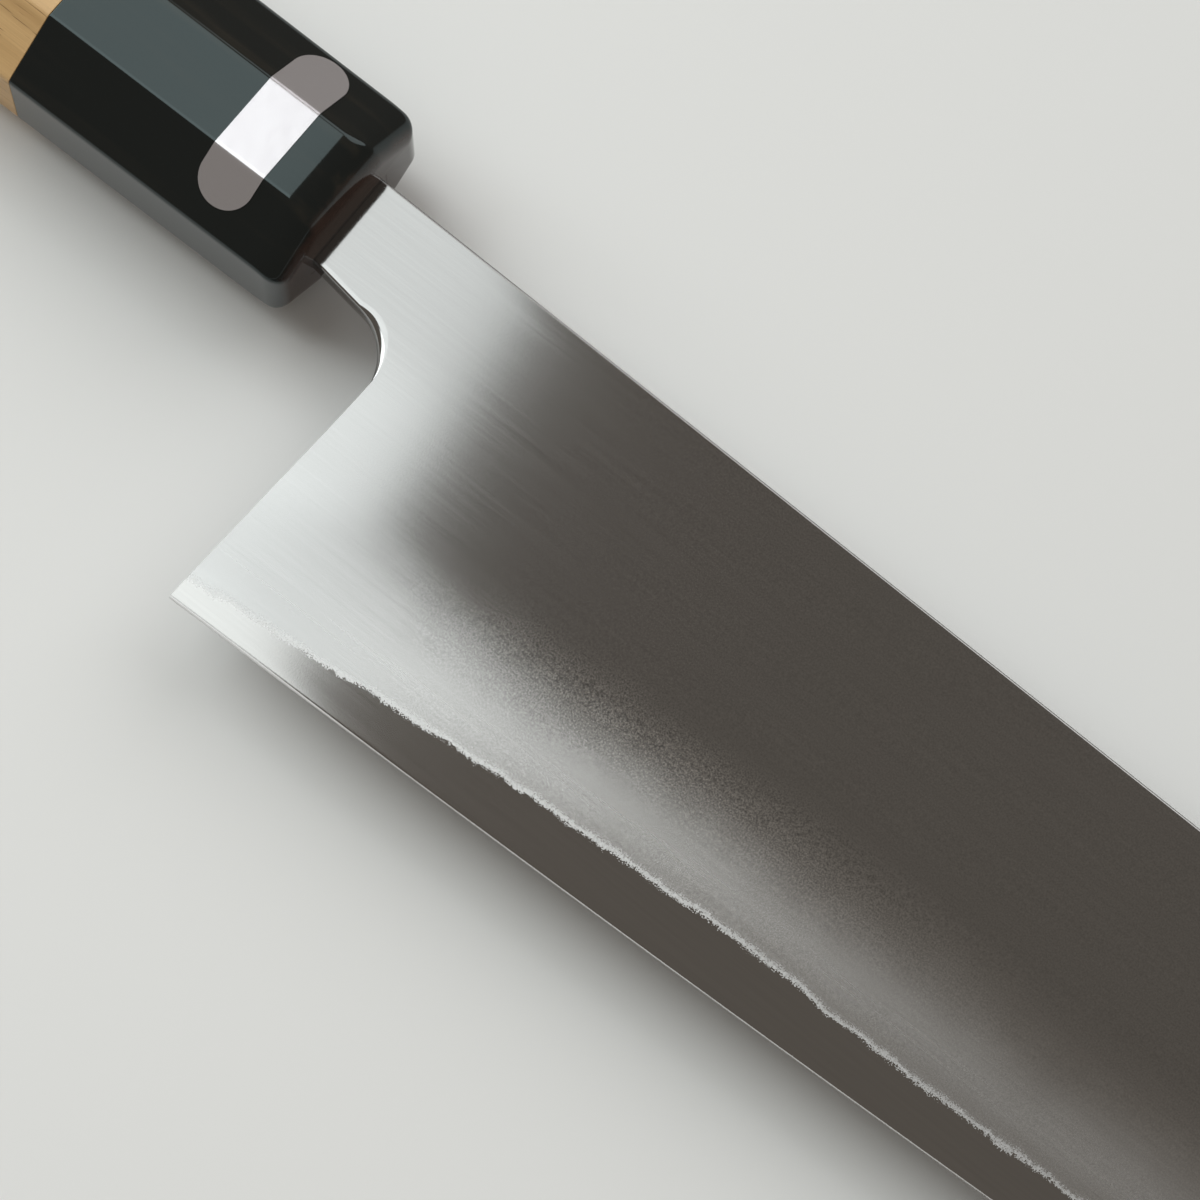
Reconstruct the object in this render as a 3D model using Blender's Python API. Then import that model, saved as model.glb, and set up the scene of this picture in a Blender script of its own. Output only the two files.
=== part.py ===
"""A slicing knife: a three-layer blade with a hidden tang, in a wooden handle with a horn ferrule.

It lies on its left side. +X runs along the handle to the tip, +Y from the edge to the spine, and +Z up,
square to the blade. Sizes are in metres. Outlines are drawn from the middle of the ferrule's front face,
and at the end every piece is moved so that the origin is at the bottom centre of the knife's box.
"""

import math

import bmesh
import bpy

# Blade, seen from its right side
BLADE_LENGTH = 0.270  # from the heel corner to the tip, along the handle
HEEL_X = 0.0106  # heel corner, ahead of the ferrule
HEEL_DROP = 0.03725  # heel corner below the handle's axis
HEEL_LEAN = 0.0019  # how far the heel corner is set back from the top of the heel line
TIP_DROP = 0.0062  # tip below the handle's axis
SPINE_START = 0.0045  # spine above the axis at the ferrule
SPINE_FALL = 0.0056  # straight fall of the spine over its whole length
SPINE_CURVE = 0.075  # length of the curved end of the spine
EDGE_SLOPE_RISE = 0.0055  # rise of the edge over its length as a straight slope
EDGE_BELLY_RISE = 0.0100  # further rise, growing evenly
EDGE_SWEEP_POWER = 7.0  # how late the rest of the rise comes, at the tip
NECK_DROP = 0.0052  # underside of the neck below the axis at the ferrule
NECK_FALL = 0.0018  # how far the underside has fallen where it would meet the heel line
CHOIL_RADIUS = 0.0063  # round corner between the neck and the heel line
TIP_HEIGHT = 0.0003  # height left at the very tip

# Blade thickness
SPINE_THICK_NECK = 0.0032
SPINE_THICK_TIP = 0.0004
SPINE_TAPER_POWER = 1.3  # how late the spine thins
GRIND_POWER = 0.62  # roundness of the faces from the spine to the edge
EDGE_THICK = 0.00008

# Layers
CORE_THICK_NECK = 0.0007
CORE_THICK_TIP = 0.0003
LINE_HEEL = 0.0021  # height of the bare core band above the edge, at the heel
LINE_BODY = 0.0048  # the same along the blade
LINE_GROWTH = 0.015  # length over which it grows from one to the other
LINE_WAVE = 0.0006
LINE_WAVE_PITCH = 0.090
LINE_WAVE_START = 0.027  # from the heel corner to where the first wave rises through its middle
LINE_TIP_SHARE = 0.62  # most of the blade's height that the band takes near the tip
LAYER_STEP = 0.00012  # depth of the step in the core that takes the thin edge of the cladding
LAYER_GAP = 0.00005
CLADDING_END = 0.0060  # where the cladding stops, behind the tip

# Tang
TANG_LENGTH = 0.095  # behind the ferrule's front face
TANG_TOP_END = 0.0022  # upper side above the axis, at its end
TANG_BOTTOM_END = 0.0026
TANG_THICK_END = 0.0022

# Handle, eight-sided, widening evenly from the front to the butt
HANDLE_LENGTH = 0.145
FRONT_HEIGHT = 0.0200
FRONT_THICK = 0.0165
BUTT_HEIGHT = 0.0218
BUTT_THICK = 0.0182
SIDE_FACET = 0.0078  # height of the flat side at the front
TOP_FACET = 0.0088  # width of the flat top at the front
FOLD_RADIUS = 0.0009  # round on the eight long folds
FERRULE_LENGTH = 0.0304
FRONT_ROUND = 0.0024  # round between the ferrule's sides and its front face
BUTT_ROUND = 0.0010
JOINT_GAP = 0.0001  # glue line between pieces

# Joint between ferrule and wood
FRONT_WALL = 0.0060  # horn left in front of the socket
SOCKET_RADIUS = 0.0070
SOCKET_DEPTH_GAP = 0.0003  # room ahead of the tenon

# Resin bed round the tang
BED_WALL = 0.0005  # resin between the tang and its hole
BED_RECESS = 0.0003  # how far the resin stops behind the front face
BED_END = 0.0020  # resin past the end of the tang

# Foil label round the ferrule
LABEL_WIDTH = 0.0056
LABEL_LENGTH = 0.0196  # along the wrap
LABEL_CENTRE_X = 0.0084  # behind the front face
LABEL_UPPER_LAP = 0.0067  # part of its length past the upper fold of the side facet
LABEL_THICK = 0.0001
LABEL_GAP = 0.00008

# Fineness of the meshes
COLUMNS = 8
BAND_COLUMNS = 3
CHOIL_STEPS = 7
HEEL_STEPS = 6
EDGE_STEPS = 48
FAN_FADE = 0.060  # length over which the lines across the blade turn from leaning to square
TANG_STEPS = 7
FOLD_STEPS = 3
ROUND_STEPS = 5
LABEL_STEPS = 34
LABEL_END_STEPS = 6
LABEL_COLUMNS = 4
CIRCLE_STEPS = 40
CUTTER_REACH = 0.002  # how far a cutter runs past the face that it opens

TIP_X = HEEL_X + BLADE_LENGTH
BUTT_X = -HANDLE_LENGTH


def lerp(start, end, share):
    """Value at a share of the way from start to end."""
    return start + (end - start) * share


def between(start, end, share):
    """Point at a share of the way from start to end."""
    return tuple(lerp(a, b, share) for a, b in zip(start, end))


def polar(centre, angle, distance):
    """Point at a distance from a centre, in the direction of an angle."""
    return (centre[0] + distance * math.cos(angle), centre[1] + distance * math.sin(angle))


# Outline of the blade

def spine_y(x):
    """Height of the spine at x: straight, then curved down to the tip."""
    straight = SPINE_START - SPINE_FALL * x / TIP_X
    curve = max(0.0, (x - TIP_X + SPINE_CURVE) / SPINE_CURVE)
    end_fall = SPINE_START - SPINE_FALL + TIP_DROP - TIP_HEIGHT / 2
    return straight - end_fall * curve**2


def edge_y(x):
    """Height of the edge at x, from the heel corner to the tip."""
    share = min(max((x - HEEL_X) / BLADE_LENGTH, 0.0), 1.0)
    sweep = HEEL_DROP - TIP_DROP - TIP_HEIGHT / 2 - EDGE_SLOPE_RISE - EDGE_BELLY_RISE
    rise = EDGE_SLOPE_RISE * share + EDGE_BELLY_RISE * share**2 + sweep * share**EDGE_SWEEP_POWER
    return -HEEL_DROP + rise


def neck_corner():
    """Where the underside of the neck would meet the heel line, without the round between them."""
    return (HEEL_X + HEEL_LEAN, -NECK_DROP - NECK_FALL)


def choil_arc():
    """Points of the round between the neck's underside and the heel line, tangent to both."""
    corner = neck_corner()
    to_neck = math.atan2(-NECK_DROP - corner[1], -corner[0])
    to_heel = math.atan2(-HEEL_DROP - corner[1], HEEL_X - corner[0]) + 2 * math.pi
    half = (to_heel - to_neck) / 2
    middle = to_neck + half
    centre = polar(corner, middle, CHOIL_RADIUS / math.sin(half))
    turn = math.pi / 2 - half
    angles = [middle + math.pi + lerp(turn, -turn, step / CHOIL_STEPS) for step in range(CHOIL_STEPS + 1)]
    return [polar(centre, angle, CHOIL_RADIUS) for angle in angles]


def line_rise(x):
    """Height of the bare core band above the edge at x: wavy, and low at the heel."""
    along = x - HEEL_X
    wave = LINE_WAVE * math.sin(2 * math.pi * (along - LINE_WAVE_START) / LINE_WAVE_PITCH)
    rise = lerp(LINE_BODY + wave, LINE_HEEL, math.exp(-along / LINE_GROWTH))
    return min(rise, LINE_TIP_SHARE * (spine_y(x) - edge_y(x)))


def tang_point(share, front, end):
    """Point on the tang's upper or lower side, a share of the way from its end to the ferrule's face."""
    return (-TANG_LENGTH * (1 - share), lerp(end, front, share))


def heel_station(x):
    """Point of the edge at x and the point where the cladding ends above it, leaning with the heel."""
    lean = HEEL_LEAN / (HEEL_DROP + neck_corner()[1]) * max(0.0, 1 - (x - HEEL_X) / LINE_GROWTH)
    rise = line_rise(x)
    return (x, edge_y(x)), (x + lean * rise, edge_y(x) + rise)


def blade_stations():
    """Lines across the blade from the tang's end to the tip.

    Each is (point of the spine, lowest point of the cladding, point of the edge). The last is None up to
    the heel, where the cladding reaches the outline.
    """
    stations = []
    for step in range(TANG_STEPS):
        share = step / TANG_STEPS
        top = tang_point(share, SPINE_START, TANG_TOP_END)
        bottom = tang_point(share, -NECK_DROP, -TANG_BOTTOM_END)
        stations.append((top, bottom, None))
    stations.append(((0.0, SPINE_START), (0.0, -NECK_DROP), None))
    arc = choil_arc()
    first_edge, first_line = heel_station(HEEL_X)
    contour = arc + [between(arc[-1], first_line, step / HEEL_STEPS) for step in range(1, HEEL_STEPS)]
    fan_start = arc[0][0]
    fan_end = first_edge[0] + CHOIL_RADIUS
    for index, bottom in enumerate(contour):
        x = lerp(fan_start, fan_end, index / len(contour))
        stations.append(((x, spine_y(x)), bottom, None))
    for step in range(EDGE_STEPS + 1):
        along = BLADE_LENGTH * (1 - math.cos(math.pi * step / EDGE_STEPS)) / 2
        edge, line = heel_station(HEEL_X + along)
        top_x = edge[0] + CHOIL_RADIUS * max(0.0, 1 - along / FAN_FADE) ** 2
        stations.append(((top_x, spine_y(top_x)), line, edge))
    return stations


# Thickness of the blade and of its core

def spine_half(x):
    """Half the thickness at the spine, which tapers both ways from the ferrule."""
    if x < 0:
        return lerp(SPINE_THICK_NECK, TANG_THICK_END, -x / TANG_LENGTH) / 2
    return lerp(SPINE_THICK_NECK, SPINE_THICK_TIP, (x / TIP_X) ** SPINE_TAPER_POWER) / 2


def face_half(x, y):
    """Half the blade's thickness at a point of its outline."""
    height = spine_y(max(x, 0.0)) - edge_y(x)
    share = min(max((y - edge_y(x)) / height, 0.0), 1.0)
    return EDGE_THICK / 2 + (spine_half(x) - EDGE_THICK / 2) * share**GRIND_POWER


def core_half(station, share):
    """Half the core's thickness under the cladding, a share of the way down a station."""
    top, line, _ = station
    at_spine = lerp(CORE_THICK_NECK, CORE_THICK_TIP, max(top[0], 0.0) / TIP_X) / 2
    at_line = min(at_spine, face_half(*line) - LAYER_STEP)
    return lerp(at_spine, at_line, share)


# Mesh helpers

def new_object(name, bm, material, smooth_angle=None):
    """Object from a bmesh, with its normals facing out."""
    bmesh.ops.recalc_face_normals(bm, faces=bm.faces)
    mesh = bpy.data.meshes.new(name)
    bm.to_mesh(mesh)
    bm.free()
    obj = bpy.data.objects.new(name, mesh)
    bpy.context.collection.objects.link(obj)
    if material is not None:
        mesh.materials.append(material)
    if smooth_angle is not None:
        mesh.shade_smooth()
        mesh.set_sharp_from_angle(angle=math.radians(smooth_angle))
    return obj


def make_material(name, colour, roughness, metallic):
    """Principled material with a plain colour."""
    material = bpy.data.materials.new(name)
    material.use_nodes = True
    shader = material.node_tree.nodes["Principled BSDF"]
    shader.inputs["Base Color"].default_value = (*colour, 1.0)
    shader.inputs["Roughness"].default_value = roughness
    shader.inputs["Metallic"].default_value = metallic
    return material


def cut(target, cutter, operation="DIFFERENCE"):
    """Boolean of a hidden guide on a piece."""
    cutter.hide_render = True
    cutter.display_type = "WIRE"
    modifier = target.modifiers.new(cutter.name, "BOOLEAN")
    modifier.operation = operation
    modifier.solver = "EXACT"
    modifier.object = cutter


def grid_faces(bm, rows):
    """Quads between neighbouring rows of vertices."""
    for first, second in zip(rows, rows[1:]):
        for a, b, c, d in zip(first, first[1:], second[1:], second):
            bm.faces.new((a, b, c, d))


def sheet_between(bm, upper, lower):
    """Closed body between two grids of vertices with the same rows."""
    grid_faces(bm, upper)
    grid_faces(bm, [row[::-1] for row in lower])
    for edge_of in (lambda row: row[0], lambda row: row[-1]):
        grid_faces(bm, [[edge_of(row) for row in upper], [edge_of(row) for row in lower]])
    for end in (0, -1):
        grid_faces(bm, [upper[end], lower[end]])


def loft(bm, rings):
    """Closed body through rings of points, with flat ends."""
    rows = [[bm.verts.new(point) for point in ring] for ring in rings]
    for first, second in zip(rows, rows[1:]):
        for index in range(len(first)):
            after = (index + 1) % len(first)
            bm.faces.new((first[index], first[after], second[after], second[index]))
    bm.faces.new(rows[0])
    bm.faces.new(rows[-1])


# Blade pieces

def build_cladding(name, side, material):
    """One outer layer of the blade, on the side given by its sign along Z."""
    stations = [entry for entry in blade_stations() if entry[1][0] <= TIP_X - CLADDING_END]
    bm = bmesh.new()
    outer, inner = [], []
    for station in stations:
        top, line, edge = station
        if edge is not None:
            line = (line[0], line[1] + LAYER_GAP)
        outer_row, inner_row = [], []
        for column in range(COLUMNS + 1):
            share = column / COLUMNS
            x, y = between(top, line, share)
            outer_row.append(bm.verts.new((x, y, side * face_half(x, y))))
            inner_row.append(bm.verts.new((x, y, side * (core_half(station, share) + LAYER_GAP))))
        outer.append(outer_row)
        inner.append(inner_row)
    sheet_between(bm, outer, inner)
    return new_object(name, bm, material, smooth_angle=25)


def build_core(material):
    """The hard layer: thin between the claddings and in the tang, full to the faces along the edge."""
    stations = blade_stations()
    bm = bmesh.new()
    hidden = {1: [], -1: []}
    band = {1: [], -1: []}
    for station in stations:
        top, line, edge = station
        for side in (1, -1):
            row = []
            for column in range(COLUMNS + 1):
                share = column / COLUMNS
                x, y = between(top, line, share)
                row.append(bm.verts.new((x, y, side * core_half(station, share))))
            hidden[side].append(row)
            if edge is None:
                continue
            row = []
            for column in range(BAND_COLUMNS + 1):
                share = column / BAND_COLUMNS
                x, y = between(line, edge, share)
                row.append(bm.verts.new((x, y, side * face_half(x, y))))
            band[side].append(row)
    first = len(stations) - len(band[1])
    for side in (1, -1):
        grid_faces(bm, hidden[side])
        grid_faces(bm, band[side])
        grid_faces(bm, [[row[-1] for row in hidden[side][first:]], [row[0] for row in band[side]]])
    close_core(bm, hidden, band, first)
    return new_object("core_steel", bm, material, smooth_angle=25)


def close_core(bm, hidden, band, first):
    """Walls between the core's two sides: spine, tang end, outline up to the heel, heel, edge and tip."""
    right, left = hidden[1], hidden[-1]
    grid_faces(bm, [[row[0] for row in right], [row[0] for row in left]])
    grid_faces(bm, [right[0], left[0]])
    grid_faces(bm, [[row[-1] for row in right[: first + 1]], [row[-1] for row in left[: first + 1]]])
    grid_faces(bm, [[row[-1] for row in band[1]], [row[-1] for row in band[-1]]])
    for end in (0, -1):
        up, down = band[1][end], band[-1][end]
        inner_up = right[first][-1] if end == 0 else right[-1][-1]
        inner_down = left[first][-1] if end == 0 else left[-1][-1]
        bm.faces.new((up[0], up[1], down[1], down[0], inner_down, inner_up))
        grid_faces(bm, [up[1:], down[1:]])
    grid_faces(bm, [right[-1], left[-1]])


# Handle pieces

def taper(front, butt, x):
    """Size at x of a handle that widens evenly from its front to its butt."""
    return lerp(front, butt, x / BUTT_X)


def section(x, inset=0.0):
    """Rounded eight-sided outline of the handle at x, drawn in by an inset: points (x, y, z)."""
    height = taper(FRONT_HEIGHT, BUTT_HEIGHT, x) / 2
    thick = taper(FRONT_THICK, BUTT_THICK, x) / 2
    side = SIDE_FACET * height / FRONT_HEIGHT
    top = TOP_FACET * thick / FRONT_THICK
    corners = [(height, top), (side, thick), (-side, thick), (-height, top)]
    corners += [(-y, -z) for y, z in corners]
    corners = inset_corners(corners, inset)
    radius = max(FOLD_RADIUS - inset, FOLD_RADIUS / 3)
    points = []
    for index, corner in enumerate(corners):
        points += rounded_corner(corners[index - 1], corner, corners[(index + 1) % len(corners)], radius)
    return [(x, y, z) for y, z in points]


def inset_corners(corners, inset):
    """Corners of a convex outline with every side moved in by the inset."""
    count = len(corners)
    return [
        inside_corner(corners[index - 1], corners[index], corners[(index + 1) % count], inset)
        for index in range(count)
    ]


def inward_normal(start, end):
    """Unit vector square to a side, pointing to the middle of the outline."""
    dy, dz = end[0] - start[0], end[1] - start[1]
    length = math.hypot(dy, dz)
    normal = (-dz / length, dy / length)
    middle = ((start[0] + end[0]) / 2, (start[1] + end[1]) / 2)
    inward = normal[0] * middle[0] + normal[1] * middle[1] < 0
    return normal if inward else (-normal[0], -normal[1])


def inside_corner(before, corner, after, distance):
    """Point inside a corner at the same distance from both its sides."""
    first, second = inward_normal(before, corner), inward_normal(corner, after)
    scale = distance / (1 + first[0] * second[0] + first[1] * second[1])
    return (corner[0] + scale * (first[0] + second[0]), corner[1] + scale * (first[1] + second[1]))


def rounded_corner(before, corner, after, radius):
    """Arc that rounds one corner, tangent to both its sides."""
    first, second = inward_normal(before, corner), inward_normal(corner, after)
    centre = inside_corner(before, corner, after, radius)
    start, end = math.atan2(-first[1], -first[0]), math.atan2(-second[1], -second[0])
    if end - start > math.pi:
        end -= 2 * math.pi
    if start - end > math.pi:
        end += 2 * math.pi
    return [polar(centre, lerp(start, end, step / FOLD_STEPS), radius) for step in range(FOLD_STEPS + 1)]


def rounded_end(end_x, inward, radius):
    """Outlines of an end with a round of this radius, from the end face to where the sides are full."""
    rings = []
    for step in range(ROUND_STEPS + 1):
        angle = math.pi / 2 * step / ROUND_STEPS
        x = end_x + inward * radius * (1 - math.cos(angle))
        rings.append(section(x, radius * (1 - math.sin(angle))))
    return rings


def rod(name, radius, start_x, end_x):
    """Cylinder along the handle's axis."""
    bm = bmesh.new()
    rings = []
    for x in (start_x, end_x):
        angles = [2 * math.pi * step / CIRCLE_STEPS for step in range(CIRCLE_STEPS)]
        rings.append([(x, radius * math.cos(angle), radius * math.sin(angle)) for angle in angles])
    loft(bm, rings)
    return new_object(name, bm, None)


def bed_ring(x, margin):
    """Outline round the tang at x, everywhere a margin away from it: flat sides with round corners."""
    share = min(max(1 + x / TANG_LENGTH, 0.0), 1.0)
    top = lerp(TANG_TOP_END, SPINE_START, share)
    bottom = -lerp(TANG_BOTTOM_END, NECK_DROP, share)
    half = lerp(TANG_THICK_END, SPINE_THICK_NECK, share) / 2
    points = []
    for quarter, corner in enumerate([(top, half), (bottom, half), (bottom, -half), (top, -half)]):
        for step in range(FOLD_STEPS + 1):
            points.append((x, *polar(corner, math.pi / 2 * (quarter + step / FOLD_STEPS), margin)))
    return points


def bed_body(name, margin, front_x, end_x, material=None):
    """Solid that follows the tang with a margin round it, from a front to an end behind the tang."""
    bm = bmesh.new()
    stops = [front_x, 0.0] if front_x > 0 else [front_x]
    loft(bm, [bed_ring(x, margin) for x in stops + [-TANG_LENGTH, end_x]])
    return new_object(name, bm, material)


def build_ferrule(material, socket, hole):
    """Horn collar: round socket behind, slot for the tang in front."""
    bm = bmesh.new()
    loft(bm, rounded_end(0.0, -1, FRONT_ROUND) + [section(-FERRULE_LENGTH)])
    ferrule = new_object("ferrule", bm, material, smooth_angle=25)
    cut(ferrule, socket)
    cut(ferrule, hole)
    return ferrule


def build_handle(material, tenon, hole):
    """Wooden body with its tenon and the blind hole for the tang."""
    bm = bmesh.new()
    loft(bm, [section(-FERRULE_LENGTH - JOINT_GAP)] + rounded_end(BUTT_X, 1, BUTT_ROUND)[::-1])
    handle = new_object("handle_body", bm, material, smooth_angle=25)
    cut(handle, tenon, "UNION")
    cut(handle, hole)
    return handle


def build_bed(material):
    """Resin that fills the hole round the tang, open in front where the tang goes in."""
    bed = bed_body("tang_bed", BED_WALL + JOINT_GAP, -BED_RECESS, -TANG_LENGTH - BED_END, material)
    cut(bed, bed_body("tang_space", JOINT_GAP, CUTTER_REACH, -TANG_LENGTH - JOINT_GAP))
    return bed


def wrap_point(outline, distance):
    """Point at a distance along an outline from the middle of its second corner, the side's upper fold."""
    middle = (FOLD_STEPS + 1) + FOLD_STEPS // 2
    mid_fold = between(outline[middle], outline[middle + 1], 0.5)
    onward = distance >= 0
    path = [mid_fold] + (outline[middle + 1:] if onward else outline[middle::-1])
    left = abs(distance)
    for start, end in zip(path, path[1:]):
        length = math.dist(start, end)
        if left <= length:
            return between(start, end, left / length)
        left -= length
    return path[-1]


def label_stops():
    """Places along the label's wrap with its half width there: straight sides and half-round ends."""
    radius = LABEL_WIDTH / 2
    first = math.pi / 2 / LABEL_END_STEPS
    angles = [lerp(first / 2, math.pi / 2, step / LABEL_END_STEPS) for step in range(LABEL_END_STEPS)]
    end = [(radius * (1 - math.cos(angle)), radius * math.sin(angle)) for angle in angles]
    straight = LABEL_LENGTH - 2 * radius
    middle = [(radius + straight * step / LABEL_STEPS, radius) for step in range(LABEL_STEPS + 1)]
    return end + middle + [(LABEL_LENGTH - along, half) for along, half in reversed(end)]


def build_label(material):
    """Thin obround foil that follows the ferrule's folds."""
    bm = bmesh.new()
    sheets = []
    for rise in (LABEL_GAP + LABEL_THICK, LABEL_GAP):
        rows = []
        for along, half in label_stops():
            row = []
            for column in range(LABEL_COLUMNS + 1):
                x = -LABEL_CENTRE_X + lerp(-half, half, column / LABEL_COLUMNS)
                row.append(bm.verts.new(wrap_point(section(x, -rise), along - LABEL_UPPER_LAP)))
            rows.append(row)
        sheets.append(rows)
    sheet_between(bm, *sheets)
    return new_object("label", bm, material, smooth_angle=40)


# The whole knife

def stand(pieces):
    """Parent every piece to an empty that puts the origin at the bottom centre of the knife's box."""
    widest_x = BUTT_X + BUTT_ROUND
    top_y = taper(FRONT_HEIGHT, BUTT_HEIGHT, widest_x) / 2
    bottom_z = -taper(FRONT_THICK, BUTT_THICK, widest_x) / 2
    knife = bpy.data.objects.new("knife", None)
    bpy.context.collection.objects.link(knife)
    knife.location = (-(BUTT_X + TIP_X) / 2, -(top_y - HEEL_DROP) / 2, -bottom_z)
    for piece in pieces:
        piece.parent = knife


def main():
    """Clear the scene and build the knife."""
    for obj in list(bpy.data.objects):
        bpy.data.objects.remove(obj, do_unlink=True)
    core_finish = make_material("core_steel", (0.16, 0.14, 0.13), 0.30, 1.0)
    clad_finish = make_material("cladding_steel", (0.52, 0.53, 0.55), 0.38, 1.0)
    horn = make_material("horn", (0.008, 0.008, 0.007), 0.12, 0.0)
    wood = make_material("wood", (0.48, 0.30, 0.14), 0.50, 0.0)
    resin = make_material("resin", (0.05, 0.035, 0.02), 0.35, 0.0)
    foil = make_material("foil", (0.80, 0.83, 0.86), 0.30, 0.0)
    joint_end = -FERRULE_LENGTH - CUTTER_REACH
    socket = rod("socket", SOCKET_RADIUS, -FRONT_WALL, joint_end)
    tenon = rod("tenon", SOCKET_RADIUS - JOINT_GAP, -FRONT_WALL - SOCKET_DEPTH_GAP, joint_end)
    hole = bed_body("tang_hole", BED_WALL + 2 * JOINT_GAP, CUTTER_REACH, -TANG_LENGTH - BED_END - JOINT_GAP)
    pieces = [
        build_core(core_finish),
        build_cladding("cladding_right", 1, clad_finish),
        build_cladding("cladding_left", -1, clad_finish),
        build_ferrule(horn, socket, hole),
        build_handle(wood, tenon, hole),
        build_bed(resin),
        build_label(foil),
    ]
    stand(pieces + [socket, tenon, hole, bpy.data.objects["tang_space"]])


main()
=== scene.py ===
"""Looks of the slicing knife: its finished pieces on a pale floor under soft light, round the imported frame.

Everything is drawn from the middle of the ferrule's front face. +X runs along the blade to its tip, +Y from
the edge to the spine, and +Z out of the blade's right side. Sizes are in metres.
"""

import logging
import math
from collections.abc import Callable, Sequence
from dataclasses import dataclass
from enum import Enum

import bmesh
import bpy
from mathutils import Matrix, Vector


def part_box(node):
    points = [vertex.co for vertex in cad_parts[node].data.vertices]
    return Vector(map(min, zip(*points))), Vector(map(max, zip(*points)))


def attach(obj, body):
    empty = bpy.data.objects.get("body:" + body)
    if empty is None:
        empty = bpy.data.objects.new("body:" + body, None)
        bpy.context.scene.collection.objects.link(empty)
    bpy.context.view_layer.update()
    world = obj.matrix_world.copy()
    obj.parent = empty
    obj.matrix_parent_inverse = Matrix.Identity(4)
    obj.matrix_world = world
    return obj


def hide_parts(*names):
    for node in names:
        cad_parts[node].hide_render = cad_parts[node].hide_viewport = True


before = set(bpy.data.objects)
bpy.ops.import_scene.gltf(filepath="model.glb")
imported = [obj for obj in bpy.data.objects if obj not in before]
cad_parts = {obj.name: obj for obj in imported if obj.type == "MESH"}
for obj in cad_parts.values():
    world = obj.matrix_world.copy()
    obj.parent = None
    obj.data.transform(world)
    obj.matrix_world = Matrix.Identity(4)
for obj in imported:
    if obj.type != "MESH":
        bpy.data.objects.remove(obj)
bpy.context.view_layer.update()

LOG = logging.getLogger("slicing_knife")
BODY = "root"

Point = tuple[float, float]
Span = tuple[float, float]
Place = tuple[float, float, float]
Colour = tuple[float, float, float]
Feeds = dict[str | int, object]
Socket = bpy.types.NodeSocket
Piece = bpy.types.Object


class Slot(Enum):
    """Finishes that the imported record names."""

    CORE = "core_steel"
    CLADDING = "cladding_steel"
    HORN = "horn"
    WOOD = "wood"
    RESIN = "resin"
    FOIL = "foil"


class Side(Enum):
    """A side of the blade, by its sign along Z."""

    RIGHT = 1
    LEFT = -1


class Joining(Enum):
    """What a guide does to a piece."""

    CUT = "DIFFERENCE"
    ADD = "UNION"


class Note(Enum):
    """Numbers kept at the blade's points for its finish to read."""

    ABOVE_LINE = "above_line"
    ABOVE_EDGE = "above_edge"
    PAST_HEEL = "past_heel"


def lerp(start: float, end: float, share: float) -> float:
    """Value at a share of the way from start to end."""
    return start + (end - start) * share


def limited(value: float, low: float = 0.0) -> float:
    """Keep a value from low to 1."""
    return min(max(value, low), 1.0)


def between(start: Point, end: Point, share: float) -> Point:
    """Point at a share of the way from start to end."""
    return (lerp(start[0], end[0], share), lerp(start[1], end[1], share))


def polar(centre: Point, angle: float, distance: float) -> Point:
    """Point at a distance from a centre, in the direction of an angle."""
    return (centre[0] + distance * math.cos(angle), centre[1] + distance * math.sin(angle))


def circle(radius: float, steps: int) -> list[Point]:
    """Points round a circle."""
    return [polar((0.0, 0.0), 2 * math.pi * step / steps, radius) for step in range(steps)]


def drawing_origin() -> Vector:
    """Middle of the ferrule's front face in the frame."""
    low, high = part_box("ferrule")
    return Vector((high.x, (low.y + high.y) / 2, (low.z + high.z) / 2))


def new_object(name: str, data: bpy.types.ID) -> Piece:
    """Add an object to the scene.

    Args:
        name: Its name.
        data: Its mesh, lamp or camera.

    Returns:
        The new object.
    """
    thing = bpy.data.objects.new(name, data)
    bpy.context.scene.collection.objects.link(thing)
    return thing


# Node trees


def sign(operation: str, turned: bool = False) -> Callable[["Field", "Number"], "Field"]:
    """Make a field's method for one of the usual signs.

    Args:
        operation: Name of the operation.
        turned: Whether the field stands after the sign.

    Returns:
        The method.
    """

    def work(this: "Field", other: "Number") -> "Field":
        """Work out the result for both numbers."""
        return this.graph.math(operation, *((other, this) if turned else (this, other)))

    return work


class Field:
    """A number that runs through a node tree and is written with the usual signs."""

    __add__ = sign("ADD")
    __radd__ = sign("ADD", turned=True)
    __sub__ = sign("SUBTRACT")
    __rsub__ = sign("SUBTRACT", turned=True)
    __mul__ = sign("MULTIPLY")
    __truediv__ = sign("DIVIDE")
    __rtruediv__ = sign("DIVIDE", turned=True)

    def __init__(self, graph: "Graph", socket: Socket) -> None:
        """Hold a socket of a graph."""
        self.graph = graph
        self.socket = socket

    def __abs__(self) -> "Field":
        """Size without its sign."""
        return self.graph.math("ABSOLUTE", self)


Number = Field | float


def sway(noise: Field, amount: Number) -> Field:
    """Turn a noise round one half into a swing of this whole amount round zero."""
    return (noise - 0.5) * amount


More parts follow.
